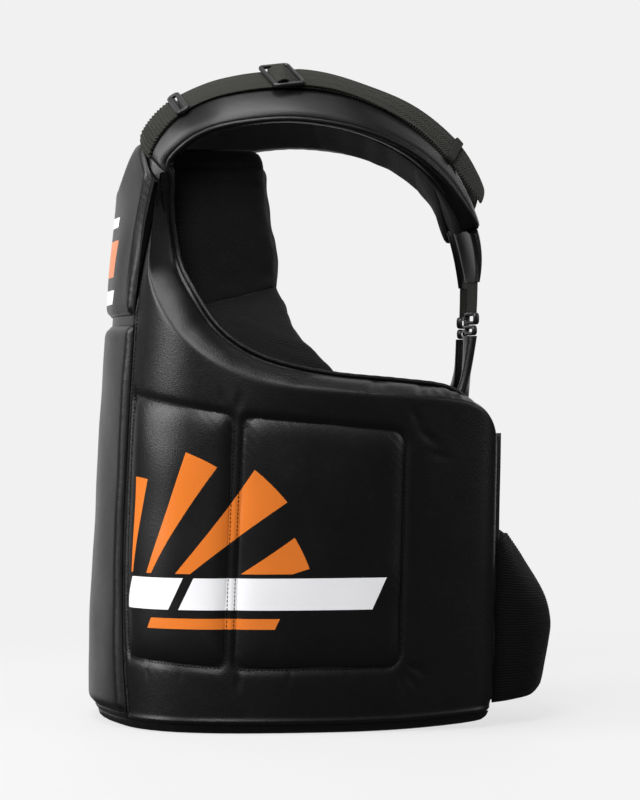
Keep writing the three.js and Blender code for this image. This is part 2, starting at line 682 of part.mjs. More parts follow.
// Lining of the front, which swells into a cushion behind the chest; a seam parts it in two
function cushionPoint(c, height, layer) {
  const wrap = c * look(CUSHION, "height", height, "half");
  const swell = (1 - Math.abs(c) ** CUSHION_SHAPE.square) ** (1 / CUSHION_SHAPE.square);
  const deep = layer * swell * Math.max(look(CUSHION, "height", height, "deep"), 0);
  const near_seam = Math.max(1 - Math.abs(height - LINING.seam) / CUSHION_SHAPE.tilt_reach, 0);
  const behind = wallThick(wrap, height) + CUSHION_SHAPE.gap + layer * LINING.thick;
  const place = wallPoint(wrap, height, -behind);
  return place.add(new THREE.Vector3(0, deep, CUSHION_SHAPE.tilt * near_seam * deep));
}
const cushionTop = (c) => {
  const neckline = look(FRONT_TOP, "share", CUSHION_SHAPE.share * Math.abs(c), "height");
  return Math.min(neckline - CUSHION_SHAPE.below_top, CUSHION_SHAPE.top);
};
const seamSide = (side) => LINING.seam + (side * LINING.seam_gap) / 2;
const cushionHigh = (layer) => (c, t) => cushionPoint(c, lerp(seamSide(1), cushionTop(c), t), layer);
const cushionLow = (layer) => (c, height) => cushionPoint(c, height, layer);
const cushionCs = bothHalves(CUSHION_HALF);
const liningLower = slab(cushionCs, [...CUSHION_LOW_ROWS, seamSide(-1)], cushionLow(0), cushionLow(1));
const liningUpper = slab(cushionCs, CUSHION_HIGH_SHARES, cushionHigh(0), cushionHigh(1));
add(protector, "lining_front_lower", liningLower, LINING_MESH);
add(protector, "lining_front_upper", liningUpper, LINING_MESH);

// Piped edges
const armholeLine = shares(30).map((t) => {
  const u = lerp(BINDING_RUN.armhole.from, BINDING_RUN.armhole.to, t);
  const small = 0.005;
  const [dw, dz] = ["wrap", "ridge"].map((column) => rim(u + small, column) - rim(u - small, column));
  const away = (BINDING.radius + BINDING.armhole_gap) / Math.hypot(dw, dz);
  const wrap = rim(u, "wrap");
  const height = rim(u, "ridge") + rim(u, "rise");
  const thick = wallThick(wrap, rim(u, "ridge"));
  const depth = BINDING.armhole_depth - thick + drop("rear", REAR_WRAP - wrap);
  return wallPoint(wrap - dz * away, height + dw * away, depth);
});
addPair("armhole_binding", piping(armholeLine, 26), LEATHER);
const beyondEdge = (along) => (BINDING.radius + BINDING.gap) / yokeWidth(along);
const yokeLine = shares(18).map((t) => {
  const along = lerp(BINDING_RUN.yoke.from, BINDING_RUN.yoke.to, t);
  const share = yokeShare(along, 1) + beyondEdge(along);
  return yokePoint(along, share, -YOKE.edge / 2);
});
addPair("yoke_binding", piping(yokeLine, 20), LEATHER);
const neckLine = shares(16).map((t) => {
  const small = 0.01;
  const q = lerp(BINDING_RUN.neck.from, BINDING_RUN.neck.to, t);
  const { wrap, height } = frontPlace(q, 1);
  const beside = frontPlace(q + small, 1);
  const slope = (beside.height - height) / (beside.wrap - wrap);
  const lift = (BINDING.radius + BINDING.gap) * Math.hypot(1, slope);
  return wallPoint(wrap, height + lift, -wallThick(wrap, height) / 2);
});
add(protector, "neck_binding", piping(neckLine, 18), LEATHER);

// Yokes over the shoulders
const yokeTop = (along, share) => yokePoint(along, yokeShare(along, share), 0);
const yokeBase = (along, share) => yokeUnder(along, share, 0);
addPair("shoulder_yoke", slab(YOKE_STATIONS, YOKE_SHARES, yokeTop, yokeBase), LEATHER);
const yokeLining = slab(
  YOKE_STATIONS.slice(1),
  YOKE_SHARES.slice(1, -1),
  (along, share) => yokeUnder(along, share, LINING.gap),
  (along, share) => yokeUnder(along, share, LINING.gap + LINING.thick),
);
addPair("yoke_lining", yokeLining, LINING_MESH);

// Shoulder straps and their fittings
const stationsBetween = (low, high) => [low, ...YOKE_STATIONS.filter((t) => t > low && t < high), high];
const ringHalf = (RING.length / 2 + RING.gap) / yokeLength;
const strapLift = () => STRAP.lift;
const tailLift = (along) => look(TAIL_LIFT, "along", along, "lift");
const tabStations = stationsBetween(STRAP_RUN.start, FITTING_AT.ring - ringHalf);
const strapStations = stationsBetween(FITTING_AT.ring + ringHalf, STRAP_RUN.end);
const tailStations = stationsBetween(STRAP_RUN.tail_start, STRAP_RUN.tail_end);
addPair("strap_tab", yokeBand(tabStations, strapLift), WEBBING);
addPair("shoulder_strap", yokeBand(strapStations, strapLift), WEBBING);
addPair("strap_tail", yokeBand(tailStations, tailLift), WEBBING);
const ringSlot = { middle: 0, length: RING.length - 2 * RING.bar, width: RING.width - 2 * RING.bar };
const ringPlate = plate(RING.length, RING.width, RING.thick, RING.corner, [ringSlot]);
const ringLift = () => STRAP.lift + RING.thick / 2;
addPair("strap_ring", ringPlate, PLASTIC, fittingPlace(FITTING_AT.ring, ringLift));
const sliderGap = (SLIDER.length - 3 * SLIDER.bar) / 2;
const sliderSlot = (side) => ({
  middle: (side * (SLIDER.bar + sliderGap)) / 2,
  length: sliderGap,
  width: SLIDER.width - 2 * SLIDER.bar - side * SLIDER.slot_step,
});
const sliderSlots = [sliderSlot(-1), sliderSlot(1)];
const sliderPlate = plate(SLIDER.length, SLIDER.width, SLIDER.thick, SLIDER.corner, sliderSlots);
const sliderLift = () => STRAP.lift + STRAP.thick + SLIDER.stand + SLIDER.thick / 2;
addPair("strap_slider", sliderPlate, PLASTIC, fittingPlace(FITTING_AT.slider, sliderLift));
const keeperHole = { length: STRAP.thick + 2 * KEEPER.clear, width: STRAP.width + 2 * KEEPER.clear };
const keeperRing = plate(
  keeperHole.length + 2 * KEEPER.wall,
  keeperHole.width + 2 * KEEPER.wall,
  KEEPER.length,
  KEEPER.corner,
  [{ middle: 0, ...keeperHole }],
);
keeperRing.rotateY(Math.PI / 2);
const keeperLift = (along) => tailLift(along) + STRAP.thick / 2;
addPair("strap_keeper", keeperRing, WEBBING, fittingPlace(FITTING_AT.keeper, keeperLift));

// Tab, buckle and strap that join each yoke to its side panel at the back
addPair("back_tab", backTab(), LEATHER);
for (const web of BACK_WEBS) addPair(web.name, backWeb(web), WEBBING);
function buckleHalf(half) {
  const slot = { middle: half.slot_at, length: BUCKLE.slot, width: BUCKLE.slot_width };
  return plate(half.length, half.width, half.thick, BUCKLE.corner, [slot]);
}
addPair("buckle_socket", buckleHalf(SOCKET), PLASTIC, bucklePlace(SOCKET.height));
addPair("buckle_plug", buckleHalf(PLUG), PLASTIC, bucklePlace(PLUG.height));

// Flaps at the rear edges and the belt between them
const flapFace = (depth) => (u, v) =>
  wallPoint(lerp(FLAP.from, FLAP.to, u), lerp(FLAP.low, FLAP.high, v), depth);
const flap = slab([0, 1], shares(4), flapFace(FLAP.depth), flapFace(FLAP.depth - FLAP.thick));
addPair("belt_flap", flap, LEATHER);
add(protector, "waist_belt", slab(BELT_PS, BELT_WS, beltFace(1), beltFace(-1)), WEBBING);

// The part stands with the middle of its base at the origin
const reach = new THREE.Box3().setFromObject(protector);
protector.position.set(0, -(reach.min.y + reach.max.y) / 2, -reach.min.z);
const part = new THREE.Group();
part.add(protector);

export default part;
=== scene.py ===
import math

import bpy
import numpy as np
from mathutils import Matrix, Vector


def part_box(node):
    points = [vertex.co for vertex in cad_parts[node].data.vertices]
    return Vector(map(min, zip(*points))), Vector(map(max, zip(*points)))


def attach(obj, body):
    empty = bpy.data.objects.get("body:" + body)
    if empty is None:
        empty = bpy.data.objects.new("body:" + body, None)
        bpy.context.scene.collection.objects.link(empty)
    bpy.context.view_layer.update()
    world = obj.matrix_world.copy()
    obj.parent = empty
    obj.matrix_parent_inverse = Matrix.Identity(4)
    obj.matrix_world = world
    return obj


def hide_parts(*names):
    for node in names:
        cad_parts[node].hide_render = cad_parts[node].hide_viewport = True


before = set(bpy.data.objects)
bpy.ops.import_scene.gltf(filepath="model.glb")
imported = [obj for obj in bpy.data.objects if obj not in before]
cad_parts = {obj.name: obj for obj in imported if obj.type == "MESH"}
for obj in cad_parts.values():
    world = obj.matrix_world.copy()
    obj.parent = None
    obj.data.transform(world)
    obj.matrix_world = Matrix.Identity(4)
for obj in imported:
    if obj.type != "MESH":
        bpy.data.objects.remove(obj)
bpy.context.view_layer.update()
MM = 0.001

# Camera at the photograph's angle, in metres; its frame is 800 pixels high
CAMERA = {
    "azimuth": 90, "distance": 3.235, "height": 0.315, "aside": 0.0009,
    "focal_px": 3213, "frame_px": 800, "sensor": 36,
}

# Driving sizes of the padded wall: wrap is the length round it from the front centre
FRONT_Y = -181.5
REAR_WRAP = 546
PLAN_END = 575
HEM_TOP = 9
HEM_RISE = {"from": 385, "lift": 7}
LEAN = {"from": 50, "span": 383, "shift": 20, "power": 1.25, "rear": 0.02}
UPPER_TAPER = {"from": 420, "to": 540, "loss": 0.44}
ROUND = {
    "rear": {"reach": 26, "drop": 12},
    "hem": {"reach": 5, "drop": 2.2},
    "seam": {"reach": 8, "drop": 3.2},
}
CORNER = {"draw": 17, "reach": 34, "panel_power": 8, "welt_power": 16}
HEM_LIP = {"out": 1.6, "above": 2.6, "soft": 2.2}
REAR_REACH = {"from": 470, "to": 546, "back": 5.5}
SEAM_GAP = 0.5
SEAT = 0.8
COLUMN_PAD = {
    "inset": 3, "edge": 1.5, "edge_reach": 2, "proud": 3.5, "crown": 1, "flange": 2.5, "reach": 9,
    "corner": 9, "pucker_from": 6, "pucker_share": 0.8, "back": 0.6,
}
CHEST_FADE = {"from": 430, "to": 520, "loss": 0.5}
CHEST_WALL = {"from": 400, "to": 505, "wide": 17, "beside": 20, "deep": 8}
CHEST_CREST = {"middle": 527, "rise": 36, "rise_from": 0.2, "rise_to": 0.71, "fall": 39, "fall_from": 0.74}
BELLY = {"low": 15, "high": 388}
CHEST_LOW = 397
# The front panel's edges, and its shoulder, which runs on under the yoke's end between two shares of its half
FRONT_EDGE = {"seam_share": 0.7, "roll": 4, "roll_reach": 9}
FRONT_GROOVE = {"deep": 1.5, "from": 400, "to": 420}
YOKE_TUCK = {"lift": 9, "from": 0.67, "to": 0.72}
LINING = {"gap": 0.8, "thick": 3, "seam": 400, "seam_gap": 1, "low": 26, "thin": 0.6}
SIDE_LINING = {"from": 228, "to": 515, "first_rim": 4, "inset": 8, "roll": 2, "roll_reach": 7}
CUSHION_SHAPE = {
    "gap": 2, "square": 5, "tilt": 0.24, "tilt_reach": 90, "share": 0.65, "below_top": -12, "top": 558,
    "first": 0.002, "last": 0.998, "edge": 0.1, "seam_roll": 5, "seam_reach": 12,
    "top_roll": 7, "top_reach": 14, "crease_half": 2.6, "crease_from": 0.55, "crease_to": 0.85,
}
PIPING = {
    "radius": 2.4, "depth": 2, "twist": 0.05, "twists": 380, "armhole_sunk": 0.8, "yoke_share": 0.5,
    "step": 2.5, "passes": 10, "neck_share": 0.64, "neck_sunk": 0.6,
}
WELT = {"end": 545.8, "inner": 4, "gap": 0.3, "round": 9, "set_back": 3, "tuck": 7, "crumple_from": 0.15}
YOKE = {
    "edge": 8, "thick": 18, "crown": 5, "end": 0.93, "taper": 0.8, "round": 9,
    "roll": 3.4, "end_roll": 3.0, "end_reach": 7, "soft_reach": 14, "under_share": 0.9,
}
YOKE_LINING = {
    "from": 0.055, "near": 0.1, "far": 0.82, "width": 60, "seams": (0.2, 0.47, 0.8),
    "puff": 1.6, "seam_reach": 16, "edge_reach": 10, "seat": 0.5,
}
STRAP = {
    "from_neck": 4, "width": 38, "lift": 0.9, "thick": 2,
    "edge": 0.35, "edge_reach": 1.5, "tab_rib": 1.3, "rib_pitch": 3.4,
}
STRAP_RUN = {"start": 0.01, "end": 0.86, "tail_start": 0.354, "tail_end": 0.945}
FITTING_AT = {"ring": 0.135, "slider": 0.382, "keeper": 0.83}
RING = {"length": 14, "width": 46, "bar": 5, "thick": 4, "corner": 3, "gap": 0.8, "lap": 0.1}
SLIDER = {
    "length": 32, "width": 50, "bar": 4, "thick": 4, "corner": 3,
    "stand": 0.5, "turn": 12, "bar_inset": 6, "bar_proud": 0.6,
}
KEEPER = {"length": 9, "wall": 1.2, "clear": 1.5, "corner": 2}
BACK_TAB = {
    "gap": 0.6, "reach": 26, "from": 0.06, "to": 0.96, "lift": -9.5, "thick": 10,
    "round": 0.16, "cut_long": 80, "cut_wide": 40,
}
BACK_TAB_END = {"height": 430, "half": 13, "thick": 4}
BUCKLE_HALVES = {
    "buckle_socket": {"height": 394.5, "length": 12, "width": 25, "bar": 3.6, "thick": 6, "corner": 2.4},
    "buckle_plug": {"height": 383, "length": 10, "width": 23, "bar": 3.6, "thick": 5, "corner": 2.4},
}
WEB_EDGE = 0.3
FLAP = {
    "from": 546.5, "to": 556, "under": 2, "low": 25, "high": 283, "depth": -15, "thick": 3,
    "edge": 0.4, "edge_reach": 2.5, "edge_tall": 200, "edge_wide": 12,
}
BELT = {
    "wrap": 551, "depth": -16.5, "thick": 2.4, "top": 195, "sag": 14, "bottom": 22, "rise": 5,
    "rib": 2.7, "rib_tall": 0.5, "rib_points": 4, "rib_share": 0.4, "cut_long": 330, "cut_wide": 170,
}

# Shapes given by short tables of named columns
TURN = {
    "wrap": (0, 75, 150, 280, 460, 546, 575),
    "facing": (0, 15.5, 26, 87, 110, 125, 126),
}
WALL = {
    "wrap": (0, 155, 225, 495, 546),
    "thick": (34, 34, 40, 40, 33),
}
SEAM = {
    "height": (16, 60, 120, 200, 400, 440, 480, 512, 531),
    "wrap": (163, 155, 146, 140, 139, 143, 151, 163, 171),
}
RIM = {
    "wrap": (171.5, 164, 162, 168, 195, 233, 270, 310, 375, 455, 505, 528, 541, 546),
    "ridge": (531, 500, 465, 432, 398, 367, 346, 332, 324, 319, 314, 303, 284, 262),
    "rise": (0, 3, 8, 16, 24, 23, 22, 20, 15, 13, 12, 9, 4, 0),
}
FRONT_TOP = {
    "share": (-0.3, 0, 0.3, 0.5, 0.6, 0.663, 0.708, 0.775, 0.888, 1),
    "height": (538, 535, 538, 543, 546, 549, 559, 553, 541.5, 531),
}
YOKE_SECTIONS = {
    "neck_x": (112, 112, 115, 115, 114, 107, 98, 88, 77, 67, 61, 56),
    "neck_y": (-127, -126, -111, -88, -52, -2, 45, 88, 129, 160, 176, 182),
    "neck_z": (566, 577, 596, 612, 626, 634, 632, 618, 596, 564, 528, 492),
    "rim_x": (159, 159, 170, 176, 179, 174, 165, 156, 144, 131, 119, 108),
    "rim_y": (-107, -106, -89, -70, -43, 11, 59, 100, 137, 167, 190, 203),
    "rim_z": (533, 544, 561, 573, 581, 587, 583, 573, 556, 532, 503, 480),
}
CUSHION = {
    "height": (26, 110, 150, 195, 240, 285, 320, 335, 345, 362, 382, 400, 470, 541),
    "half": (225, 225, 225, 225, 225, 224, 222, 221, 216, 194, 162, 136, 136, 134),
    "deep": (0, 0, 2, 16, 60, 125, 165, 155, 142, 128, 123, 118, 114, 110),
}
# Creases along the upper lining: how far below its top, and how deep
CREASES = {
    "below": (17, 31),
    "deep": (3.2, 2.4),
}
TAIL_LIFT = {
    "along": (0.354, 0.382, 0.41, 0.435, 0.62, 0.78, 0.9, 0.98),
    "lift": (3.2, 9.4, 3.2, 3.6, 3.6, 6.5, 13, 19),
}
TAIL_TWIST = {"lift": 18, "from": 0.48, "to": 0.9}
BACK_RUN = {
    "height": (335, 378, 410, 477),
    "x": (98, 95, 92, 84),
    "y": (186, 191, 193, 194),
    "turn": (8, -18, -24, -28),
}
BACK_SEAT = {"wrap": 523, "upper": 296, "lower": 262, "stand": 6.8, "turn": 59}
BACK_WEBS = {
    "buckle_web": {
        "from": 431, "to": 400, "half_from": 10, "half_to": 10, "thick": 2.4, "round": 0.1,
        "finish": "webbing",
    },
    "back_strap": {
        "from": 377.5, "to": 262, "half_from": 12, "half_to": 10, "thick": 9, "round": 0.35,
        "finish": "leather",
    },
}
BELT_BULGE = {
    "height": (22, 27, 33, 52, 73, 95, 124, 159, 186, 195),
    "bulge": (47, 50, 54, 58, 61, 62, 55, 33, 12, 8),
}

# The side panel's face and the band from its ridge over to the armhole's piping
PANEL = {
    "relief_fade": 30, "deepest": 14, "rise_power": 6, "rear_from": 0.985, "ridge_rows": 7, "ridge_passes": 9,
}
BAND = {
    "bulge": 3.2, "groove": 2.4, "groove_at": 0.82, "groove_half": 0.05,
    "gather_power": 0.6, "rise_power": 0.9, "up": 0.75, "out": 0.65, "cut": 40,
}
# Stitched pads of the sides: outlines, corner radii at the front and rear edge, and how they swell
SIDE_PADS = {
    "front": {"inset": 11, "right": 275, "low": (70, 63), "high": (321, 301), "corner": (5, 7), "seed": 21},
    "rear": {"left": 285, "right": 444, "low": (62, 62), "high": (299, 285), "corner": (7, 15), "seed": 22},
}
PAD_SWELL = {
    "sunk": 1.6, "proud": 6, "soft": 8, "crown": 2.2, "crown_soft": 45, "blend": 5,
    "pucker_reach": 4, "back": 1.2,
}
PAD_VALLEY = {"deep": 1.8, "soft": 3.6, "swell": 1.7, "near": 9, "far": 70}
PUCKER = {"tall": 0.5, "pitch": 9.5, "fade": 9, "mean": 0.55}
# Seeds of the puckers beside the stitches of each piece
PUCKER_SEEDS = {"side_panel": 11, "front_panel": 41, "belly_pad": 51, "chest_pad": 61}
# Short folds in the side panel: middle, way they run in degrees, length, half-width and depth
FOLDS = {
    "wrap": (459, 454, 446, 427, 393, 337, 233, 195, 289, 467, 480, 455, 280, 263),
    "height": (60, 50, 47, 52, 53, 52, 54, 57, 50, 280, 262, 297, 312, 316),
    "way": (-28, -50, -75, -96, -84, -100, -86, -95, -92, -35, -12, -62, 84, 100),
    "length": (26, 22, 18, 14, 12, 13, 12, 12, 16, 24, 20, 22, 20, 16),
    "half": (3.2, 3, 2.6, 2.4, 2.2, 2.2, 2.2, 2.2, 3, 3.4, 3.2, 3, 3.4, 2.6),
    "deep": (1.5, 1.2, 1, 0.8, 0.7, 0.7, 0.7, 0.7, 1.2, 1.1, 0.8, 1, 1, 0.8),
}
# Gathers in the band under the armhole's piping: place, slant across the band, half-width and depth
GATHERS = {
    "wrap": (187, 225, 280, 343, 417, 427, 467, 477, 487, 501, 511, 521, 530),
    "slant": (8, 10, 14, 16, 18, 10, 20, 12, 6, 14, 8, 4, -4),
    "half": (7, 8, 9, 8, 5, 4, 5, 4, 4, 4.5, 4, 4, 4),
    "deep": (0.7, 0.8, 0.8, 0.9, 1.9, 1.4, 2, 1.6, 1.4, 2.2, 1.8, 1.8, 1.4),
}
# Uneven waves in the surfaces: height, size and seed
WAVES = {
    "pucker_drift": (3, 40, 0),
    "pucker_strength": (0.45, 70, 1),
    "side_panel": (0.45, 95, 3),
    "side_pad": (0.35, 70, 5),
    "column_pad": (0.4, 80, 3),
    "welt_roll": (0.5, 26, 71),
    "welt_crease": (0.4, 15, 72),
    "cushion": (1.0, 80, 81),
    "cushion_slack": (0.5, 30, 82),
    "cushion_crease": (2.5, 90, 84),
    "side_lining": (0.8, 70, 83),
    "yoke": (0.7, 75, 91),
    "yoke_lining": (0.4, 30, 92),
    "belt": (1.1, 85, 95),
    "flap": (0.4, 60, 97),
}
WELT_STRETCH = {"roll": (1.5, 2.5), "crease": 2.4}

# Stitches, and how many points the grids and paths of the pieces have
SEWING = {"pitch": 3.9, "length": 2.9, "thread": 0.42, "sides": 5}
# Rings of one stitch: share of its half-length, of its radius, and of its height
STITCH_RINGS = {
    "place": (-1, -0.72, 0, 0.72, 1),
    "radius": (0.25, 0.9, 1, 0.9, 0.25),
    "level": (-0.7, 0.1, 0.45, 0.1, -0.7),
}
SIDE_SEWING = {"outside": 1.6, "above": 0.15, "low": 34, "high": 520, "beside": 5.5}
COLUMN_SEWING = {"aside": 4, "ends": 5, "across": 4.5, "chest_top": 522, "above": 0.1}
GRID = {
    "side_panel": (190, 116),
    "panel_rear": 12,
    "panel_band": 36,
    "side_pad": (76, 96),
    "front_panel": (96, 128),
    "belly_pad": (96, 170),
    "chest_pad": (110, 90),
    "hem_welt": (300, 16),
    "lower": (128, 110),
    "upper": (128, 80),
    "side_lining": (70, 50),
    "yoke": (120, 40),
    "yoke_lining": (120, 30),
    "strap": (160, 13),
    "back_tab": (70, 24),
    "back_web": (90, 12),
    "belt": 72,
    "flap": (14, 90),
}
PATH = {
    "outline": 900, "side_seam": 300, "column_side": 240, "column_end": 200,
    "armhole": 320, "yoke": 240, "neck": 160,
}
OUTLINE = {"reach": 320.0, "halvings": 34}
LOOP = {"steps": 9, "spacing": 1.6, "bar_points": 24, "square": 0.6}
TUBE_SIDES = 14
SHARP_DEG = 55


def placed(name, data):
    made = bpy.data.objects.new(name, data)
    bpy.context.scene.collection.objects.link(made)
    return made


def make_camera():
    turn = math.radians(CAMERA["azimuth"])
    right = Vector((math.cos(turn), math.sin(turn), 0))
    toward = Vector((math.sin(turn), -math.cos(turn), 0))
    data = bpy.data.cameras.new("camera")
    data.sensor_width = CAMERA["sensor"]
    data.lens = CAMERA["focal_px"] / CAMERA["frame_px"] * CAMERA["sensor"]
    camera = placed("camera", data)
    camera.location = right * CAMERA["aside"] + toward * CAMERA["distance"] + Vector((0, 0, CAMERA["height"]))
    camera.rotation_euler = toward.to_track_quat("Z", "Y").to_euler()
    bpy.context.scene.camera = camera


make_camera()


def mix(a, b, t):
    return a + (b - a) * t


def smooth(t):
    return t * t * (3 - 2 * t)


def look(table, key, value, column):
    """Smooth value of a table's column at a value of its key column."""
    keys = np.array(table[key], float)
    heights = np.array(table[column], float)
    last = len(keys) - 1
    before = np.maximum(np.arange(last + 1) - 1, 0)
    after = np.minimum(np.arange(last + 1) + 1, last)
    slopes = (heights[after] - heights[before]) / (keys[after] - keys[before])
    at = np.clip(value, keys[0], keys[-1])
    i = np.searchsorted(keys[1:-1], at, side="left")
    span = keys[i + 1] - keys[i]
    t = (at - keys[i]) / span
    leave = t * (1 - t) ** 2 * span * slopes[i]
    arrive = t * t * (t - 1) * span * slopes[i + 1]
    return mix(heights[i], heights[i + 1], smooth(t)) + leave + arrive


def ease_between(value, low, high):
    return smooth(np.clip((value - low) / (high - low), 0, 1))


def quarter(distance, reach):
    """Quarter-round profile: 0 at an edge, 1 once the reach is passed."""
    t = np.clip(1 - distance / reach, 0, 1)
    return np.sqrt(1 - t * t)


def bell(value, half):
    return np.exp(-((value / half) ** 2))


def waves(kind, a, b, seed=0):
    """Smooth uneven waves over two coordinates."""
    tall, size, own_seed = WAVES[kind]
    chance = np.random.default_rng(own_seed + seed)
    total = 0
    for _ in range(6):
        way, phase = chance.uniform(0, 2 * np.pi, 2)
        length = size * chance.uniform(0.7, 1.5)
        total = total + np.sin(2 * np.pi * (np.cos(way) * a + np.sin(way) * b) / length + phase)
    return tall * (total / 3)


def arrays(*values):
    return np.broadcast_arrays(*[np.asarray(value, float) for value in values])


# The plan of the wall's outer face, one millimetre of wrap at a time
PLAN_WRAP = np.arange(PLAN_END + 1)
PLAN_FACING = np.radians(np.concatenate([[0], look(TURN, "wrap", PLAN_WRAP[1:] - 0.5, "facing")]))
PLAN_X = np.cumsum(np.concatenate([[0], np.cos(PLAN_FACING[1:])]))
PLAN_Y = FRONT_Y + np.cumsum(np.concatenate([[0], np.sin(PLAN_FACING[1:])]))
REAR_Y = PLAN_Y[REAR_WRAP]
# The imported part's middle is at the origin, so its belly pad shows how far the plan was moved
BELLY_FRONT = FRONT_Y - SEAT - COLUMN_PAD["edge"] - COLUMN_PAD["proud"] - COLUMN_PAD["crown"]
SHIFT_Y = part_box("belly_pad")[0].y / MM - BELLY_FRONT


def wall_point(wrap, height, depth):
    """A point of the wall: wrap is negative on the wearer's right, and depth is positive outwards."""
    wrap, height, depth = arrays(wrap, height, depth)
    length = np.abs(wrap)
    facing = np.interp(length, PLAN_WRAP, PLAN_FACING)
    x = np.interp(length, PLAN_WRAP, PLAN_X) + depth * np.sin(facing)
    y = np.interp(length, PLAN_WRAP, PLAN_Y) - depth * np.cos(facing)
    forward = np.clip((REAR_Y - y) / (REAR_Y - FRONT_Y), 0, 1)
    lean = LEAN["shift"] * (np.maximum(height - LEAN["from"], 0) / LEAN["span"]) ** LEAN["power"]
    back = forward * lean + (1 - forward) * LEAN["rear"] * height
    back = back + REAR_REACH["back"] * ease_between(length, REAR_REACH["from"], REAR_REACH["to"])
    return np.stack([np.sign(wrap) * x, y + back, height], -1)


def seam_wrap(height):
    return look(SEAM, "height", height, "wrap")


def hem_rise(wrap):
    past = np.maximum(np.abs(wrap) - HEM_RISE["from"], 0) / (REAR_WRAP - HEM_RISE["from"])
    return HEM_RISE["lift"] * past * past


def wall_thick(wrap, height):
    taper = 1 - UPPER_TAPER["loss"] * ease_between(height, UPPER_TAPER["from"], UPPER_TAPER["to"])
    return look(WALL, "wrap", np.abs(wrap), "thick") * taper


def drop(kind, distance):
    return ROUND[kind]["drop"] * (1 - quarter(distance, ROUND[kind]["reach"]))


rim_steps = np.hypot(np.diff(RIM["wrap"]), np.diff(RIM["ridge"]))
RIM["run"] = np.concatenate([[0], np.cumsum(rim_steps)])


def rim(u, column):
    return look(RIM, "run", np.asarray(u) * RIM["run"][-1], column)


def side_place(u, v):
    """Wrap and height on the side panel of a share u from seam to rear edge and a share v from hem to rim."""
    rim_front, rim_rear = RIM["ridge"][0], RIM["ridge"][-1]
    seam_low, seam_high = (seam_wrap(level) + SEAM_GAP for level in (HEM_TOP, rim_front))
    rear_low = HEM_TOP + hem_rise(REAR_WRAP)
    corners = {
        "wrap": (seam_low, REAR_WRAP, seam_high, REAR_WRAP),
        "height": (HEM_TOP, rear_low, rim_front, rim_rear),
    }
    hem_wrap = mix(seam_low, REAR_WRAP, u)
    seam_height = mix(HEM_TOP, rim_front, v)
    hem = {"wrap": hem_wrap, "height": HEM_TOP + hem_rise(hem_wrap)}
    top = {"wrap": rim(u, "wrap"), "height": rim(u, "ridge")}
    seam = {"wrap": seam_wrap(seam_height) + SEAM_GAP, "height": seam_height}
    rear = {"wrap": REAR_WRAP, "height": mix(rear_low, rim_rear, v)}
    place = {}
    for column, (low_seam, low_rear, high_seam, high_rear) in corners.items():
        edges = mix(hem[column], top[column], v) + mix(seam[column], rear[column], u)
        place[column] = edges - mix(mix(low_seam, low_rear, u), mix(high_seam, high_rear, u), v)
    return place["wrap"], place["height"]


def pad_left(pad, height):
    return pad["left"] if "left" in pad else seam_wrap(height) + pad["inset"]


def pad_edges(pad, wrap, height):
    """Left, right, lower and upper edge of a side pad beside a place, and its corner radius."""
    left = pad_left(pad, height)
    share = np.clip((wrap - left) / (pad["right"] - left), 0, 1)
    low, high, corner = (mix(*pad[name], share) for name in ("low", "high", "corner"))
    return left, pad["right"], low, high, corner


def outside_pad(pad, wrap, height):
    """Distance outside a side pad's rounded outline; it is negative inside."""
    left, right, low, high, corner = pad_edges(pad, wrap, height)
    aside = np.maximum(left - wrap, wrap - right) + corner
    above = np.maximum(low - height, height - high) + corner
    beyond = np.hypot(np.maximum(aside, 0), np.maximum(above, 0))
    return beyond + np.minimum(np.maximum(aside, above), 0) - corner


def puckers(run, distance, seed):
    """Ripples that a row of stitches draws up in the leather beside it."""
    uneven = run + waves("pucker_drift", run, 0 * run, seed)
    ripple = 0.5 + 0.5 * np.sin(2 * np.pi * uneven / PUCKER["pitch"])
    strength = PUCKER["mean"] + waves("pucker_strength", run, 0 * run, seed)
    return PUCKER["tall"] * ripple * strength * np.exp(-np.abs(distance) / PUCKER["fade"])


def folds(wrap, height):
    total = 0
    for middle, level, way, length, half, deep in zip(*FOLDS.values()):
        turn = math.radians(way)
        along = math.cos(turn) * (wrap - middle) + math.sin(turn) * (height - level)
        across = -math.sin(turn) * (wrap - middle) + math.cos(turn) * (height - level)
        total = total - deep * np.exp(-((across / half) ** 2) - (2 * along / length) ** 2)
    return total


def panel_relief(wrap, height):
    """Swell of the side panel's leather between its sewn lines."""
    away = np.minimum(*[outside_pad(pad, wrap, height) for pad in SIDE_PADS.values()])
    out = np.maximum(away, 0)
    valley = -PAD_VALLEY["deep"] * bell(away, PAD_VALLEY["soft"])
    swell = PAD_VALLEY["swell"] * (1 - np.exp(-out / PAD_VALLEY["near"])) * np.exp(-out / PAD_VALLEY["far"])
    drawn = puckers(wrap + height, out, PUCKER_SEEDS["side_panel"])
    return valley + swell + drawn + folds(wrap, height) + waves("side_panel", wrap, height)


def hem_lip(above):
    """Small roll that the leather makes just above its lower edge."""
    return HEM_LIP["out"] * bell(above - HEM_LIP["above"], HEM_LIP["soft"])


def chest_wall(away, height, wide):
    """Fall of the leather towards the chest's side seams, which grows upwards."""
    grow = ease_between(height, CHEST_WALL["from"], CHEST_WALL["to"])
    return CHEST_WALL["deep"] * grow * np.clip(1 - away / CHEST_WALL[wide], 0, 1)


def corner_draw(share, height):
    """How far the rounded lower rear corner is drawn in towards the front."""
    return CORNER["draw"] * share * (1 - quarter(height - HEM_RISE["lift"], CORNER["reach"]))


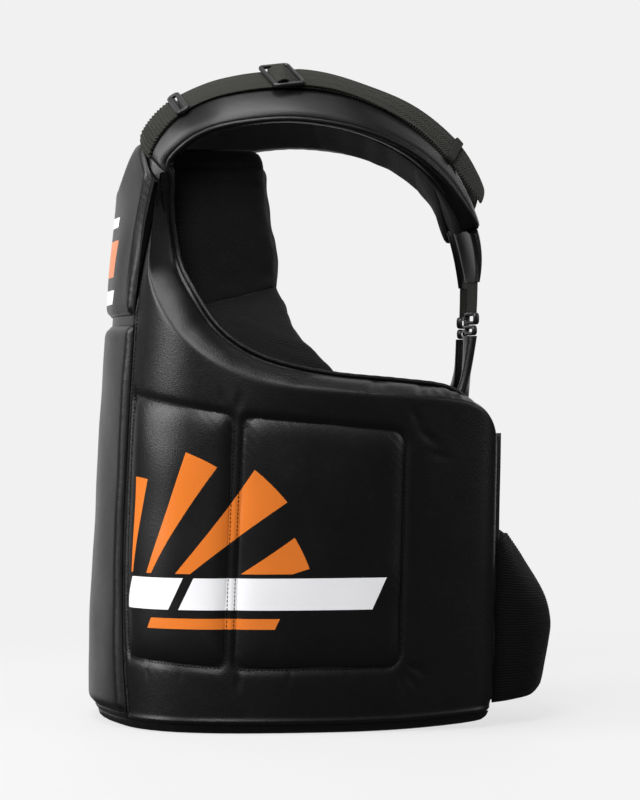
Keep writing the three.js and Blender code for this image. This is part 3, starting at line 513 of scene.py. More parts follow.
def side_outer(u, v):
    wrap, height = side_place(u, v)
    above_hem = height - HEM_TOP - hem_rise(wrap)
    past_seam = wrap - seam_wrap(height)
    depth = (
        drop("rear", REAR_WRAP - wrap)
        + drop("hem", above_hem)
        + drop("seam", past_seam)
        + chest_wall(past_seam, height, "beside")
    )
    relief = panel_relief(wrap, height) * quarter(REAR_WRAP - wrap, PANEL["relief_fade"])
    raised = relief + hem_lip(above_hem)
    drawn = wrap - corner_draw(u ** CORNER["panel_power"], height)
    return wall_point(drawn, height, raised - np.minimum(depth, PANEL["deepest"]))


def side_inner(u, v):
    wrap, height = side_place(u, v)
    depth = wall_thick(wrap, height) - drop("rear", REAR_WRAP - wrap)
    drawn = wrap - corner_draw(u ** CORNER["panel_power"], height)
    return wall_point(drawn, height + rim(u, "rise") * v ** PANEL["rise_power"], -depth)


def front_top(q):
    return look(FRONT_TOP, "share", np.abs(q), "height")


def mesh_of(name, points, faces, cut=None, side=1):
    """A mesh from points in millimetres, turned to face outwards; cut holds flat coordinates."""
    points = (np.asarray(points, float) * (side, 1, 1) + (0, SHIFT_Y, 0)) * MM
    corners = points[faces]
    spanned = np.cross(corners[:, 1] - corners[:, 0], corners[:, -1] - corners[:, 0])
    if np.sum(corners[:, 0] * spanned) < 0:
        faces = faces[:, ::-1]
    mesh = bpy.data.meshes.new(name)
    mesh.from_pydata(points.tolist(), [], faces.tolist())
    if cut is not None:
        layer = mesh.uv_layers.new(name="cut")
        layer.data.foreach_set("uv", (cut * MM)[faces.ravel()].ravel())
    mesh.shade_smooth()
    mesh.set_sharp_from_angle(angle=math.radians(SHARP_DEG))
    return mesh


def grid_faces(index):
    return np.stack([index[:-1, :-1], index[1:, :-1], index[1:, 1:], index[:-1, 1:]], -1).reshape(-1, 4)


def walled(name, outer, inner, cut, side=1):
    """A closed mesh between an outer and an inner grid of points."""
    rows, columns = outer.shape[:2]
    index = np.arange(rows * columns).reshape(rows, columns)
    ring = np.concatenate([index[:-1, 0], index[-1, :-1], index[:0:-1, -1], index[0, :0:-1]])
    back = rows * columns
    following = np.roll(ring, -1)
    edge = np.stack([following, ring, ring + back, following + back], -1)
    faces = np.concatenate([grid_faces(index), grid_faces(index)[:, ::-1] + back, edge])
    points = np.concatenate([outer.reshape(-1, 3), inner.reshape(-1, 3)])
    flat = np.concatenate([np.stack(cut, -1).reshape(-1, 2)] * 2)
    return mesh_of(name, points, faces, flat, side)


def spread(count, crowd=0.0):
    """Shares from 0 to 1, crowded towards both ends."""
    t = np.linspace(0, 1, count)
    return mix(t, smooth(t), crowd)


def pair(us, vs):
    return np.meshgrid(us, vs, indexing="ij")


def unit(vectors):
    return vectors / np.linalg.norm(vectors, axis=-1, keepdims=True)


def along_path(points, step):
    """Points at even steps along a path."""
    gone = np.concatenate([[0], np.cumsum(np.linalg.norm(np.diff(points, axis=0), axis=1))])
    marks = np.linspace(0, gone[-1], max(int(gone[-1] / step), 2) + 1)
    return np.stack([np.interp(marks, gone, points[:, k]) for k in range(points.shape[1])], -1)


def tube(path, section, ups=(0, 0, 1.0), closed=False):
    """Points and faces of a tube along a path: section(share, angle) gives its offsets aside and up."""
    ahead = np.roll(path, -1, 0) - np.roll(path, 1, 0) if closed else np.gradient(path, axis=0)
    ahead = unit(ahead)
    aside = unit(np.cross(ahead, ups))
    above = np.cross(aside, ahead)
    share, angle = pair(np.linspace(0, 1, len(path)), 2 * np.pi * np.arange(TUBE_SIDES) / TUBE_SIDES)
    wide, tall = section(share, angle)
    points = path[:, None] + aside[:, None] * wide[..., None] + above[:, None] * tall[..., None]
    index = np.arange(len(path) * TUBE_SIDES).reshape(len(path), TUBE_SIDES)
    around = np.concatenate([index, index[:, :1]], 1)
    if closed:
        return points.reshape(-1, 3), grid_faces(np.concatenate([around, around[:1]], 0))
    caps = []
    for row, way in ((index[0], -1), (index[-1], 1)):
        strips = [(row[i], row[i + 1], row[-i - 2], row[-i - 1]) for i in range(TUBE_SIDES // 2 - 1)]
        caps += [strip[::way] for strip in strips]
    return points.reshape(-1, 3), np.concatenate([grid_faces(around), np.array(caps)])


def sewn_row(path, ups):
    """Points and faces of a row of thread stitches along a path that lies on a surface facing up."""
    data = along_path(np.concatenate([path, ups], 1), SEWING["pitch"])
    middle, up = data[:, :3], unit(data[:, 3:])
    ahead = unit(np.gradient(middle, axis=0))
    aside = np.cross(ahead, up)
    sides = SEWING["sides"]
    angle = 2 * np.pi * np.arange(sides) / sides
    place, radius, level = (np.array(column)[:, None] for column in STITCH_RINGS.values())
    along = SEWING["length"] / 2 * place * np.ones(sides)
    wide = SEWING["thread"] * radius * np.cos(angle)
    tall = SEWING["thread"] * (radius * np.sin(angle) + level)
    points = middle[:, None, None] + (
        ahead[:, None, None] * along[..., None]
        + aside[:, None, None] * wide[..., None]
        + up[:, None, None] * tall[..., None]
    )
    index = np.arange(along.size).reshape(along.shape)
    one = grid_faces(np.concatenate([index, index[:, :1]], 1))
    faces = one[None] + (np.arange(len(middle)) * along.size)[:, None, None]
    return points.reshape(-1, 3), faces.reshape(-1, 4)


def together(parts):
    """Points and faces of several parts as one."""
    points, faces, count = [], [], 0
    for part_points, part_faces in parts:
        points.append(part_points)
        faces.append(part_faces + count)
        count += len(part_points)
    return np.concatenate(points), np.concatenate(faces)


class Level:
    """A value that varies over a surface. Arithmetic on it adds Math nodes to its finish."""

    def __init__(self, finish, socket):
        self.finish = finish
        self.socket = socket

    def math(self, operation, *others):
        return self.finish.maths(operation, self, *others)

    def __add__(self, other):
        return self.math("ADD", other)

    def __sub__(self, other):
        return self.math("SUBTRACT", other)

    def __rsub__(self, other):
        return self.finish.maths("SUBTRACT", other, self)

    def __mul__(self, other):
        return self.math("MULTIPLY", other)

    def __truediv__(self, other):
        return self.math("DIVIDE", other)

    def __mod__(self, other):
        return self.math("MODULO", other)

    def __pow__(self, other):
        return self.math("POWER", other)

    def __lt__(self, other):
        return self.math("LESS_THAN", other)

    def __gt__(self, other):
        return self.math("GREATER_THAN", other)

    def __abs__(self):
        return self.math("ABSOLUTE")

    __radd__ = __add__
    __rmul__ = __mul__


class Finish:
    """One procedural material: a Principled shader and the nodes that feed it."""

    def __init__(self, name, **constants):
        self.material = bpy.data.materials.new(name)
        self.material.use_nodes = True
        self.tree = self.material.node_tree
        self.shader = self.tree.nodes["Principled BSDF"]
        for socket, value in constants.items():
            self.shader.inputs[socket.replace("_", " ")].default_value = value

    def node(self, kind, settings, sockets):
        made = self.tree.nodes.new(kind)
        for name, value in settings.items():
            setattr(made, name, value)
        known = {socket.identifier: socket for socket in made.inputs}
        for key, value in sockets.items():
            self.feed(made.inputs[key] if isinstance(key, int) else known[key], value)
        return {socket.identifier: Level(self, socket) for socket in made.outputs}

    def feed(self, socket, value):
        if isinstance(value, Level):
            self.tree.links.new(value.socket, socket)
        else:
            socket.default_value = value

    def maths(self, operation, *values):
        return self.node("ShaderNodeMath", {"operation": operation}, dict(enumerate(values)))["Value"]

    def place(self):
        """Place in the frame, in metres."""
        return self.node("ShaderNodeTexCoord", {}, {})["Object"]

    def cut(self):
        """Flat coordinates of the cut piece, in millimetres."""
        vector = self.node("ShaderNodeUVMap", {"uv_map": "cut"}, {})["UV"]
        made = self.node("ShaderNodeSeparateXYZ", {}, {"Vector": vector})
        return made["X"] / MM, made["Y"] / MM

    def noise(self, vector, size, detail=3):
        sockets = {"Vector": vector, "Scale": 1 / (size * MM), "Detail": detail}
        return self.node("ShaderNodeTexNoise", {}, sockets)["Fac"]

    def cells(self, vector, size):
        sockets = {"Vector": vector, "Scale": 1 / (size * MM)}
        return self.node("ShaderNodeTexVoronoi", {"feature": "F1"}, sockets)["Distance"]

    def colour(self, share, a, b):
        sockets = {"Factor_Float": share, "A_Color": a, "B_Color": b}
        return self.node("ShaderNodeMix", {"data_type": "RGBA"}, sockets)["Result_Color"]

    def remap(self, value, span, onto, kind="LINEAR"):
        """A value carried from one span onto another."""
        ends = ("From Min", "From Max", "To Min", "To Max")
        sockets = {"Value": value, **dict(zip(ends, (*span, *onto)))}
        return self.node("ShaderNodeMapRange", {"interpolation_type": kind}, sockets)["Result"]

    def dress(self, colour, roughness=None, height=None, tall=0.0002):
        """Links what varies: colour, roughness, and a bump of so many metres."""
        self.feed(self.shader.inputs["Base Color"], colour)
        if roughness is not None:
            self.feed(self.shader.inputs["Roughness"], roughness)
        if height is not None:
            bump = self.node("ShaderNodeBump", {}, {"Strength": 1.0, "Distance": tall, "Height": height})
            self.feed(self.shader.inputs["Normal"], bump["Normal"])
        return self.material


def grey(level, cool=1.0):
    return (level, level, level * cool, 1)


INK = {"orange": (0.6, 0.15, 0.017, 1), "white": (0.72, 0.72, 0.74, 1)}
FAN = {
    "turn": (27, 46, 65, 84),
    "inner": (78, 66, 64, 72),
    "outer": (205, 218, 200, 164),
    "open": (4.6, 5.8, 4.8, 3.4),
}
FAN_PLACE = {"wrap": 163, "height": 78, "from": 151, "narrow": 0.35}
# Printed bars: middle, slant, and half of their length and height
BARS = {
    "side_bar": {"wrap": 293, "height": 132, "slant": 0.45, "half_long": 128, "half_tall": 15},
    "side_gap": {"wrap": 233, "height": 132, "slant": 0.45, "half_long": 5, "half_tall": 16},
    "side_line": {"wrap": 262, "height": 104, "slant": 0.45, "half_long": 62, "half_tall": 5},
    "chest_upper": {"wrap": 0, "height": 490, "slant": 0.3, "half_long": 70, "half_tall": 5},
    "chest_lower": {"wrap": 0, "height": 416, "slant": 0.3, "half_long": 74, "half_tall": 7},
    "chest_broad": {"wrap": 0, "height": 454, "slant": 0.3, "half_long": 74, "half_tall": 18},
}


def slanted_bar(name, wrap, height):
    """Share of ink in a bar with slanted ends."""
    bar = BARS[name]
    above = height - bar["height"]
    along = wrap - bar["wrap"] - above * bar["slant"]
    return (abs(along) < bar["half_long"]) * (abs(above) < bar["half_tall"])


def blade(wrap, height, turn, inner, outer, open_deg):
    """Share of ink in one blade of the fan."""
    aside = wrap - FAN_PLACE["wrap"]
    above = height - FAN_PLACE["height"]
    radius = (aside * aside + above * above) ** 0.5
    angle = above.math("ARCTAN2", aside) - math.radians(turn)
    taper = (radius - inner) / (outer - inner)
    half = math.radians(open_deg) * (FAN_PLACE["narrow"] + (1 - FAN_PLACE["narrow"]) * taper)
    return (abs(angle) < half) * (radius > inner) * (radius < outer)


def side_print(wrap, height):
    """A fan of orange blades behind a slanted white bar."""
    fan = 0
    for turn, inner, outer, opening in zip(*FAN.values()):
        fan = blade(wrap, height, turn, inner, outer, opening) + fan
    bar, gap, line = (slanted_bar("side_" + name, wrap, height) for name in ("bar", "gap", "line"))
    yield "orange", fan * (height > FAN_PLACE["from"]) + line
    yield "white", bar * (1 - gap)


def chest_print(wrap, height):
    """A broad orange bar between two white ones."""
    upper, lower, broad = (slanted_bar("chest_" + name, wrap, height) for name in ("upper", "lower", "broad"))
    yield "white", upper + lower
    yield "orange", broad


# Sizes of each finish's detail; relief is the height of its bump in metres
LEATHER = {
    "pebble": 1.5, "fine": 0.5, "drift": 46, "scuff": 7, "worn": (0.58, 0.8), "worn_most": 0.35,
    "relief": 0.00014,
}
MESH = {"row": 1.9, "column": 2.2, "stagger": 1.1, "thread": 1.4, "drift": 34, "relief": 0.0005}
WEBBING = {"stripe": 6.4, "steep": 1.05, "rib": 2.8, "fibre": 0.9, "relief": 0.0006}
ELASTIC = {"stitch": 1.7, "fibre": 1.1, "relief": 0.0004}
PLASTIC = {"grain": 0.7, "drift": 9, "relief": 0.00006}
THREAD = {"twist": 0.5, "relief": 0.0001}


def leather(name, level, roughness, printed=None):
    """Satin grained leather; printed adds the ink of the pads."""
    finish = Finish(name, IOR=1.46, Specular_IOR_Level=0.36)
    place = finish.place()
    pebble = finish.cells(place, LEATHER["pebble"])
    fine = finish.noise(place, LEATHER["fine"], 2)
    drift = finish.noise(place, LEATHER["drift"])
    scuff = finish.noise(place, LEATHER["scuff"], 5)
    shade = finish.colour(drift, grey(level * 0.82, 1.06), grey(level * 1.22, 1.08))
    worn = finish.remap(scuff, LEATHER["worn"], (0, LEATHER["worn_most"]))
    shade = finish.colour(worn, shade, grey(level * 2.1, 1.05))
    rough = roughness + 0.1 * drift + 0.08 * scuff
    if printed:
        for ink, mask in printed(*finish.cut()):
            shade = finish.colour(mask, shade, INK[ink])
            rough = rough - 0.06 * mask
    return finish.dress(shade, rough, pebble * 0.7 + fine * 0.3, LEATHER["relief"])


def mesh_cloth(name, level):
    """Soft knitted lining with small round holes."""
    finish = Finish(name, Specular_IOR_Level=0.15, Sheen_Weight=0.04, Sheen_Roughness=0.5)
    across, up = finish.cut()
    row = up / MESH["row"]
    column = (across + row.math("FLOOR") % 2 * MESH["stagger"]) / MESH["column"]
    beside, above = (count.math("FRACT") - 0.5 for count in (column, row))
    hole = (beside * beside + above * above) ** 0.5 * 2
    thread = finish.noise(finish.place(), MESH["thread"])
    drift = finish.noise(finish.place(), MESH["drift"])
    shade = finish.colour(hole.math("MINIMUM", 1.0), grey(level * 0.45), grey(level * 1.15, 0.96))
    shade = finish.colour(drift * 0.5, shade, grey(level * 1.6, 0.96))
    return finish.dress(shade, 0.86 + 0.1 * thread, hole.math("MINIMUM", 0.8) + thread * 0.3, MESH["relief"])


def herringbone(name, level):
    """Webbing woven in narrow zigzag stripes."""
    finish = Finish(name, Specular_IOR_Level=0.16, Sheen_Weight=0.02, Sheen_Roughness=0.5)
    along, across = finish.cut()
    zigzag = across.math("PINGPONG", WEBBING["stripe"])
    phase = (along + zigzag * WEBBING["steep"]) * (2 * math.pi / WEBBING["rib"])
    rib = phase.math("SINE") * 0.5 + 0.5
    fibre = finish.noise(finish.place(), WEBBING["fibre"])
    shade = finish.colour(rib * rib, grey(level * 0.1, 0.84), grey(level * 2.8, 0.84))
    shade = finish.colour(fibre * 0.2, shade, grey(level * 1.6, 0.86))
    return finish.dress(shade, 0.78 + 0.14 * fibre, rib + fibre * 0.3, WEBBING["relief"])


def knit_elastic(name, level):
    """Elastic knit: the ribs are in the mesh, and fine stitches run along each of them."""
    finish = Finish(name, Specular_IOR_Level=0.12, Sheen_Weight=0.01, Sheen_Roughness=0.5)
    phase = finish.cut()[0] * (2 * math.pi / ELASTIC["stitch"])
    stitch = phase.math("SINE") * 0.5 + 0.5
    fibre = finish.noise(finish.place(), ELASTIC["fibre"])
    shade = finish.colour(stitch, grey(level * 0.7, 0.96), grey(level * 1.25, 0.96))
    shade = finish.colour(fibre * 0.4, shade, grey(level * 1.6))
    return finish.dress(shade, 0.8 + 0.12 * fibre, stitch * 0.6 + fibre * 0.5, ELASTIC["relief"])


def moulded_plastic(name, level):
    finish = Finish(name, Specular_IOR_Level=0.5, Coat_Weight=0.12, Coat_Roughness=0.2)
    grain = finish.noise(finish.place(), PLASTIC["grain"])
    drift = finish.noise(finish.place(), PLASTIC["drift"])
    shade = finish.colour(drift, grey(level * 0.8, 1.04), grey(level * 1.3, 1.04))
    return finish.dress(shade, 0.3 + 0.12 * drift, grain, PLASTIC["relief"])


def sewing_thread(name, level):
    finish = Finish(name, Specular_IOR_Level=0.05)
    twist = finish.noise(finish.place(), THREAD["twist"], 2)
    shade = finish.colour(twist, grey(level * 0.6), grey(level * 1.5))
    return finish.dress(shade, 0.6 + 0.2 * twist, twist, THREAD["relief"])


FINISHES = {
    "leather": leather("satin_leather", 0.003, 0.29),
    "printed": leather("printed_leather", 0.003, 0.29, side_print),
    "chest": leather("chest_leather", 0.003, 0.29, chest_print),
    "trim": leather("folded_trim_leather", 0.003, 0.32),
    "lining": mesh_cloth("mesh_lining", 0.005),
    "webbing": herringbone("herringbone_webbing", 0.016),
    "elastic": knit_elastic("ribbed_elastic", 0.002),
    "plastic": moulded_plastic("moulded_buckle_plastic", 0.008),
    "thread": sewing_thread("sewing_thread", 0.003),
}
SLOTS = {"printed": "leather", "chest": "leather", "thread": "trim"}
SIDES = {"left": 1, "right": -1}


def dressed(name, mesh, finish, stands_for=()):
    """A piece of the object, riding on the frame in its place."""
    made = placed(name, mesh)
    mesh.materials.append(FINISHES[finish])
    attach(made, "root")
    SLOTS.get(finish, finish)
    if stands_for:
        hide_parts(*stands_for)
    return made


def sided(name, side):
    return f"{name}_{side}" if side else name


def cover(name, grids, finish, node, side=None):
    """A piece between an outer and an inner grid, which stands for a node."""
    name = sided(name, side)
    return dressed(name, walled(name, *grids, SIDES.get(side, 1)), finish, [sided(node, side)])


def shaped(name, part, finish, nodes, side=None):
    """A piece from points and faces, which stands for nodes."""
    name = sided(name, side)
    mesh = mesh_of(name, *part, side=SIDES.get(side, 1))
    return dressed(name, mesh, finish, [sided(node, side) for node in nodes])


def sheet_of(grid, rests_on):
    """Measures the flat cut that covers a grid of points, its steps and its area, and keeps none of it."""
    wide = np.linalg.norm(np.diff(grid, axis=0), axis=-1)
    long = np.linalg.norm(np.diff(grid, axis=1), axis=-1)
    a, b, c, d = grid[:-1, :-1], grid[1:, :-1], grid[1:, 1:], grid[:-1, 1:]
    covered = 0.5 * np.linalg.norm(np.cross(c - a, d - b), axis=-1).sum()


def wall_row(wrap, height, depth):
    """A path for stitches on the wall, with the way the wall faces along it."""
    wrap, height, depth = arrays(wrap, height, depth)
    ups = unit(wall_point(wrap, height, 1) - wall_point(wrap, height, 0))
    return wall_point(wrap, height, depth), ups


def sew(name, rows, side=None):
    """One piece of thread from several rows, each a path with the way its surface faces."""
    name = sided(name, side)
    mirror = (SIDES.get(side, 1), 1, 1)
    thread = together([sewn_row(path * mirror, ups * mirror) for path, ups in rows])
    return dressed(name, mesh_of(name, *thread), "thread")


def wall_grids(wrap, height, outer, inner):
    """Outer and inner points of a layer of the wall between two depths, and its flat coordinates."""
    return wall_point(wrap, height, outer), wall_point(wrap, height, inner), (wrap, height)


def rounded_rows(grid, first, last, passes):
    """Eases the rows between two places, so that a corner along them is round."""
    grid = grid.copy()
    for _ in range(passes):
        inner = (grid[:, first - 1 : last - 1] + 2 * grid[:, first:last] + grid[:, first + 1 : last + 1]) / 4
        grid[:, first:last] = inner
    return grid


def band_point(u, t):
    """A point of the band from the panel's ridge (0) to the armhole's piping (1)."""
    wrap, ridge, rise = (rim(u, column) for column in ("wrap", "ridge", "rise"))
    rear = drop("rear", REAR_WRAP - wrap)
    thick = wall_thick(wrap, ridge) - rear
    depth = -mix(np.minimum(rear, PANEL["deepest"]), thick, t)
    arch = np.sin(np.pi * t)
    bulge = BAND["bulge"] * arch * quarter(REAR_WRAP - wrap, PANEL["relief_fade"])
    bulge = bulge - BAND["groove"] * bell(t - BAND["groove_at"], BAND["groove_half"])
    for middle, slant, half, deep in zip(*GATHERS.values()):
        bulge = bulge - deep * bell(wrap - middle - slant * (t - 0.5), half) * arch ** BAND["gather_power"]
    height = ridge + rise * t ** BAND["rise_power"] + BAND["up"] * bulge
    return wall_point(wrap, height, depth + BAND["out"] * bulge)


def panel_grids():
    columns, face_rows = GRID["side_panel"]
    band_rows = GRID["panel_band"]
    rear_from = PANEL["rear_from"]
    us = np.concatenate([spread(columns)[:-1] * rear_from, np.linspace(rear_from, 1, GRID["panel_rear"])])
    face_u, face_v = pair(us, spread(face_rows, crowd=0.7))
    band_u, band_t = pair(us, np.linspace(0, 1, band_rows + 1)[1:])
    outer = np.concatenate([side_outer(face_u, face_v), band_point(band_u, band_t)], 1)
    eased = PANEL["ridge_rows"]
    outer = rounded_rows(outer, face_rows - eased, face_rows + eased, PANEL["ridge_passes"])
    inner = side_inner(*pair(us, spread(face_rows + band_rows, crowd=0.25)))
    face_wrap, face_height = side_place(face_u, face_v)
    band_wrap = np.broadcast_to(face_wrap[:, -1:], band_u.shape)
    cut = (
        np.concatenate([face_wrap, band_wrap], 1),
        np.concatenate([face_height, face_height[:, -1:] + BAND["cut"] * band_t], 1),
    )
    return outer, inner, cut


def pad_relief(pad, wrap, height):
    left, right, low, high, _ = pad_edges(pad, wrap, height)
    edges = np.stack([wrap - left, right - wrap, height - low, high - height])
    inside = np.maximum(-PAD_SWELL["blend"] * np.log(np.exp(-edges / PAD_SWELL["blend"]).sum(0)), 0)
    rise = PAD_SWELL["proud"] * (1 - np.exp(-inside / PAD_SWELL["soft"]))
    crown = PAD_SWELL["crown"] * (1 - bell(inside, PAD_SWELL["crown_soft"]))
    drawn = puckers(wrap + height, inside, pad["seed"]) * quarter(inside, PAD_SWELL["pucker_reach"])
    return rise + crown - PAD_SWELL["sunk"] + drawn


def side_pad_grids(pad):
    columns, rows = GRID["side_pad"]
    u, v = pair(spread(columns, crowd=0.45), spread(rows, crowd=0.45))
    height = mix(mix(*pad["low"], u), mix(*pad["high"], u), v)
    wrap = mix(pad_left(pad, height), pad["right"], u)
    proud = pad_relief(pad, wrap, height) + waves("side_pad", wrap, height, pad["seed"])
    return wall_grids(wrap, height, proud, np.minimum(proud, 0) - PAD_SWELL["back"])


def pad_outline(pad, outside):
    """Places along a side pad's rounded outline, a little outside it."""
    turn = np.linspace(0, 2 * np.pi, PATH["outline"])
    height = np.mean(pad["low"] + pad["high"]) / 2
    wrap = (pad_left(pad, height) + pad["right"]) / 2
    low = np.zeros(turn.shape)
    high = np.full(turn.shape, OUTLINE["reach"])
    for _ in range(OUTLINE["halvings"]):
        middle = (low + high) / 2
        within = outside_pad(pad, wrap + middle * np.cos(turn), height + middle * np.sin(turn)) < outside
        low = np.where(within, middle, low)
        high = np.where(within, high, middle)
    return wrap + low * np.cos(turn), height + low * np.sin(turn)


def make_sides():
    """Side panels, whose outer face runs on over the ridge to the piping, with their pads and stitches."""
    panel = panel_grids()
    pads = {name: side_pad_grids(pad) for name, pad in SIDE_PADS.items()}
    rows = []
    for pad in SIDE_PADS.values():
        wrap, height = pad_outline(pad, SIDE_SEWING["outside"])
        rows.append(wall_row(wrap, height, panel_relief(wrap, height) + SIDE_SEWING["above"]))
    height = np.linspace(SIDE_SEWING["low"], SIDE_SEWING["high"], PATH["side_seam"])
    wrap = seam_wrap(height) + SIDE_SEWING["beside"]
    beside = wrap - seam_wrap(height)
    sunk = drop("seam", beside) + chest_wall(beside, height, "beside")
    rows.append(wall_row(wrap, height, panel_relief(wrap, height) - sunk))
    for side in SIDES:
        cover("side_panel_cover", panel, "printed", "side_panel", side=side)
        for name, pad in pads.items():
            cover(f"side_pad_{name}_cover", pad, "printed", f"side_pad_{name}", side=side)
        sew("side_stitches", rows, side)


def level_line(height):
    return lambda share: height + 0 * share


def column_profile(inside):
    """Rise of a column pad above its sewn flange."""
    return quarter(np.maximum(inside - COLUMN_PAD["flange"], 0), COLUMN_PAD["reach"])


def column_grids(name, low, high):
    columns, rows = GRID[name]
    seed = PUCKER_SEEDS[name]
    q, v = pair(2 * spread(columns, crowd=0.4) - 1, spread(rows, crowd=0.4))
    height = mix(low(q), high(q), v)
    half = seam_wrap(height) - COLUMN_PAD["inset"]
    wrap = q * half
    sides = (1 - np.abs(q)) * half
    ends = np.minimum(height - low(q), high(q) - height)
    corner = COLUMN_PAD["corner"]
    inside = corner - np.hypot(np.maximum(corner - sides, 0), np.maximum(corner - ends, 0))
    inside = np.where((sides < corner) | (ends < corner), inside, np.minimum(sides, ends))
    fade = 1 - CHEST_FADE["loss"] * ease_between(height, CHEST_FADE["from"], CHEST_FADE["to"])
    swell = fade * (COLUMN_PAD["proud"] + COLUMN_PAD["crown"] * (1 - q * q))
    edge = COLUMN_PAD["edge"] * quarter(inside, COLUMN_PAD["edge_reach"])
    proud = SEAT + edge + column_profile(inside) * swell
    proud = proud - chest_wall(sides, height, "wide")
    drawn = puckers(wrap + height, inside - COLUMN_PAD["pucker_from"], seed) * COLUMN_PAD["pucker_share"]
    proud = proud + drawn * quarter(inside, COLUMN_PAD["pucker_from"])
    proud = proud + waves("column_pad", wrap, height, seed) * column_profile(inside)
    return wall_grids(wrap, height, proud, SEAT - COLUMN_PAD["back"])


def chest_crest(q):
    """Upper edge of the chest pad, which rises to a soft point under each yoke."""
    q = np.abs(q)
    rise = CHEST_CREST["rise"] * ease_between(q, CHEST_CREST["rise_from"], CHEST_CREST["rise_to"])
    return CHEST_CREST["middle"] + rise - CHEST_CREST["fall"] * ease_between(q, CHEST_CREST["fall_from"], 1)


def front_panel_grids():
    columns, rows = GRID["front_panel"]
    q, v = pair(np.linspace(-1, 1, columns), spread(rows, crowd=0.3))
    crest = front_top(q) + YOKE_TUCK["lift"] * ease_between(np.abs(q), YOKE_TUCK["from"], YOKE_TUCK["to"])
    height = mix(HEM_TOP, crest, v)
    half = seam_wrap(height)
    wrap = q * (half - SEAM_GAP)
    from_seam = half - np.abs(wrap)
    roll = FRONT_EDGE["roll"] * (1 - quarter((1 - v) * (crest - HEM_TOP), FRONT_EDGE["roll_reach"]))
    depth = -drop("hem", height - HEM_TOP) - drop("seam", from_seam) * FRONT_EDGE["seam_share"]
    depth = depth - roll + puckers(wrap + height, from_seam, PUCKER_SEEDS["front_panel"])
    depth = depth - chest_wall(half - COLUMN_PAD["inset"] - np.abs(wrap), height, "wide")
    depth = depth - FRONT_GROOVE["deep"] * ease_between(height, FRONT_GROOVE["from"], FRONT_GROOVE["to"])
    return wall_grids(wrap, height, depth, -wall_thick(wrap, height) + roll)


def column_rows():
    """Stitches round the column pads, on their flanges."""
    rows = []
    flange = SEAT + COLUMN_PAD["edge"] + COLUMN_SEWING["above"]
    ends = COLUMN_SEWING["ends"]
    spans = ((BELLY["low"] + ends, BELLY["high"] - ends), (CHEST_LOW + ends, COLUMN_SEWING["chest_top"]))
    for side in (1, -1):
        for low, high in spans:
            level = np.linspace(low, high, PATH["column_side"])
            at = side * (seam_wrap(level) - COLUMN_PAD["inset"] - COLUMN_SEWING["aside"])
            fall = chest_wall(COLUMN_SEWING["aside"] + 0 * level, level, "wide")
            rows.append(wall_row(at, level, flange - fall))
    across = np.linspace(-1, 1, PATH["column_end"])
    inset = COLUMN_SEWING["across"]
    for level in (BELLY["low"] + inset, BELLY["high"] - inset, CHEST_LOW + inset):
        rows.append(wall_row(across * (seam_wrap(level) - COLUMN_PAD["inset"] - ends), level, flange))
    return rows


def make_front():
    cover("front_panel_cover", front_panel_grids(), "leather", "front_panel")
    belly = column_grids("belly_pad", level_line(BELLY["low"]), level_line(BELLY["high"]))
    cover("belly_pad_cover", belly, "leather", "belly_pad")
    chest = column_grids("chest_pad", level_line(CHEST_LOW), chest_crest)
    cover("chest_pad_cover", chest, "chest", "chest_pad")
    sew("front_stitches", column_rows())


def make_hem():
    columns, rows = GRID["hem_welt"]
    u, v = pair(np.linspace(-1, 1, columns), spread(rows, crowd=0.2))
    wrap = u * WELT["end"]
    height = hem_rise(wrap) + v * (HEM_TOP - WELT["gap"])
    wrap = wrap - np.sign(u) * corner_draw(np.abs(u) ** CORNER["welt_power"], height)
    long, tall = WELT_STRETCH["roll"]
    crumple = waves("welt_roll", wrap * long, height * tall)
    crumple = crumple + waves("welt_crease", wrap * WELT_STRETCH["crease"], height)
    tuck = WELT["tuck"] * (1 - quarter(height - hem_rise(wrap), WELT["round"]))
    roll = WELT["set_back"] + tuck + drop("rear", REAR_WRAP - np.abs(wrap))
    crumple = crumple * np.sin(np.pi * np.clip(v + WELT["crumple_from"], 0, 1))
    grids = wall_grids(wrap, height, -roll + crumple, -wall_thick(wrap, height) + WELT["inner"])
    cover("hem_welt_roll", grids, "trim", "hem_welt")


def faced(grid, behind):
    """Directions out of a grid of points, away from the grid behind it."""
    out = unit(np.cross(np.gradient(grid, axis=0), np.gradient(grid, axis=1)) + 1e-9)
    return out * np.sign(np.sum(out * (grid - behind)))


def flat_run(grid):
    """Length along each column of a grid from its first point."""
    steps = np.linalg.norm(np.diff(grid, axis=0), axis=-1)
    return np.concatenate([0 * steps[:1], np.cumsum(steps, 0)])


def cushion_point(turn, height, layer):
    """The front lining: turn goes round it from the right (0) to the left (pi), and layer 1 is its face."""
    power = 2 / CUSHION_SHAPE["square"]
    wrap = -np.sign(np.cos(turn)) * np.abs(np.cos(turn)) ** power * look(CUSHION, "height", height, "half")
    swell = np.abs(np.sin(turn)) ** power
    deep = layer * swell * np.maximum(look(CUSHION, "height", height, "deep"), 0)
    near_seam = np.maximum(1 - np.abs(height - LINING["seam"]) / CUSHION_SHAPE["tilt_reach"], 0)
    behind = wall_thick(wrap, height) + CUSHION_SHAPE["gap"] + layer * LINING["thick"]
    lift = np.stack([0 * deep, deep, CUSHION_SHAPE["tilt"] * near_seam * deep], -1)
    return wall_point(wrap, height, -behind) + lift


def cushion_top(turn):
    across = np.abs(np.cos(turn)) ** (2 / CUSHION_SHAPE["square"])
    neckline = front_top(CUSHION_SHAPE["share"] * across)
    return np.minimum(neckline - CUSHION_SHAPE["below_top"], CUSHION_SHAPE["top"])


def rolled(distance, tall, reach):
    return -tall * (1 - quarter(distance, reach))


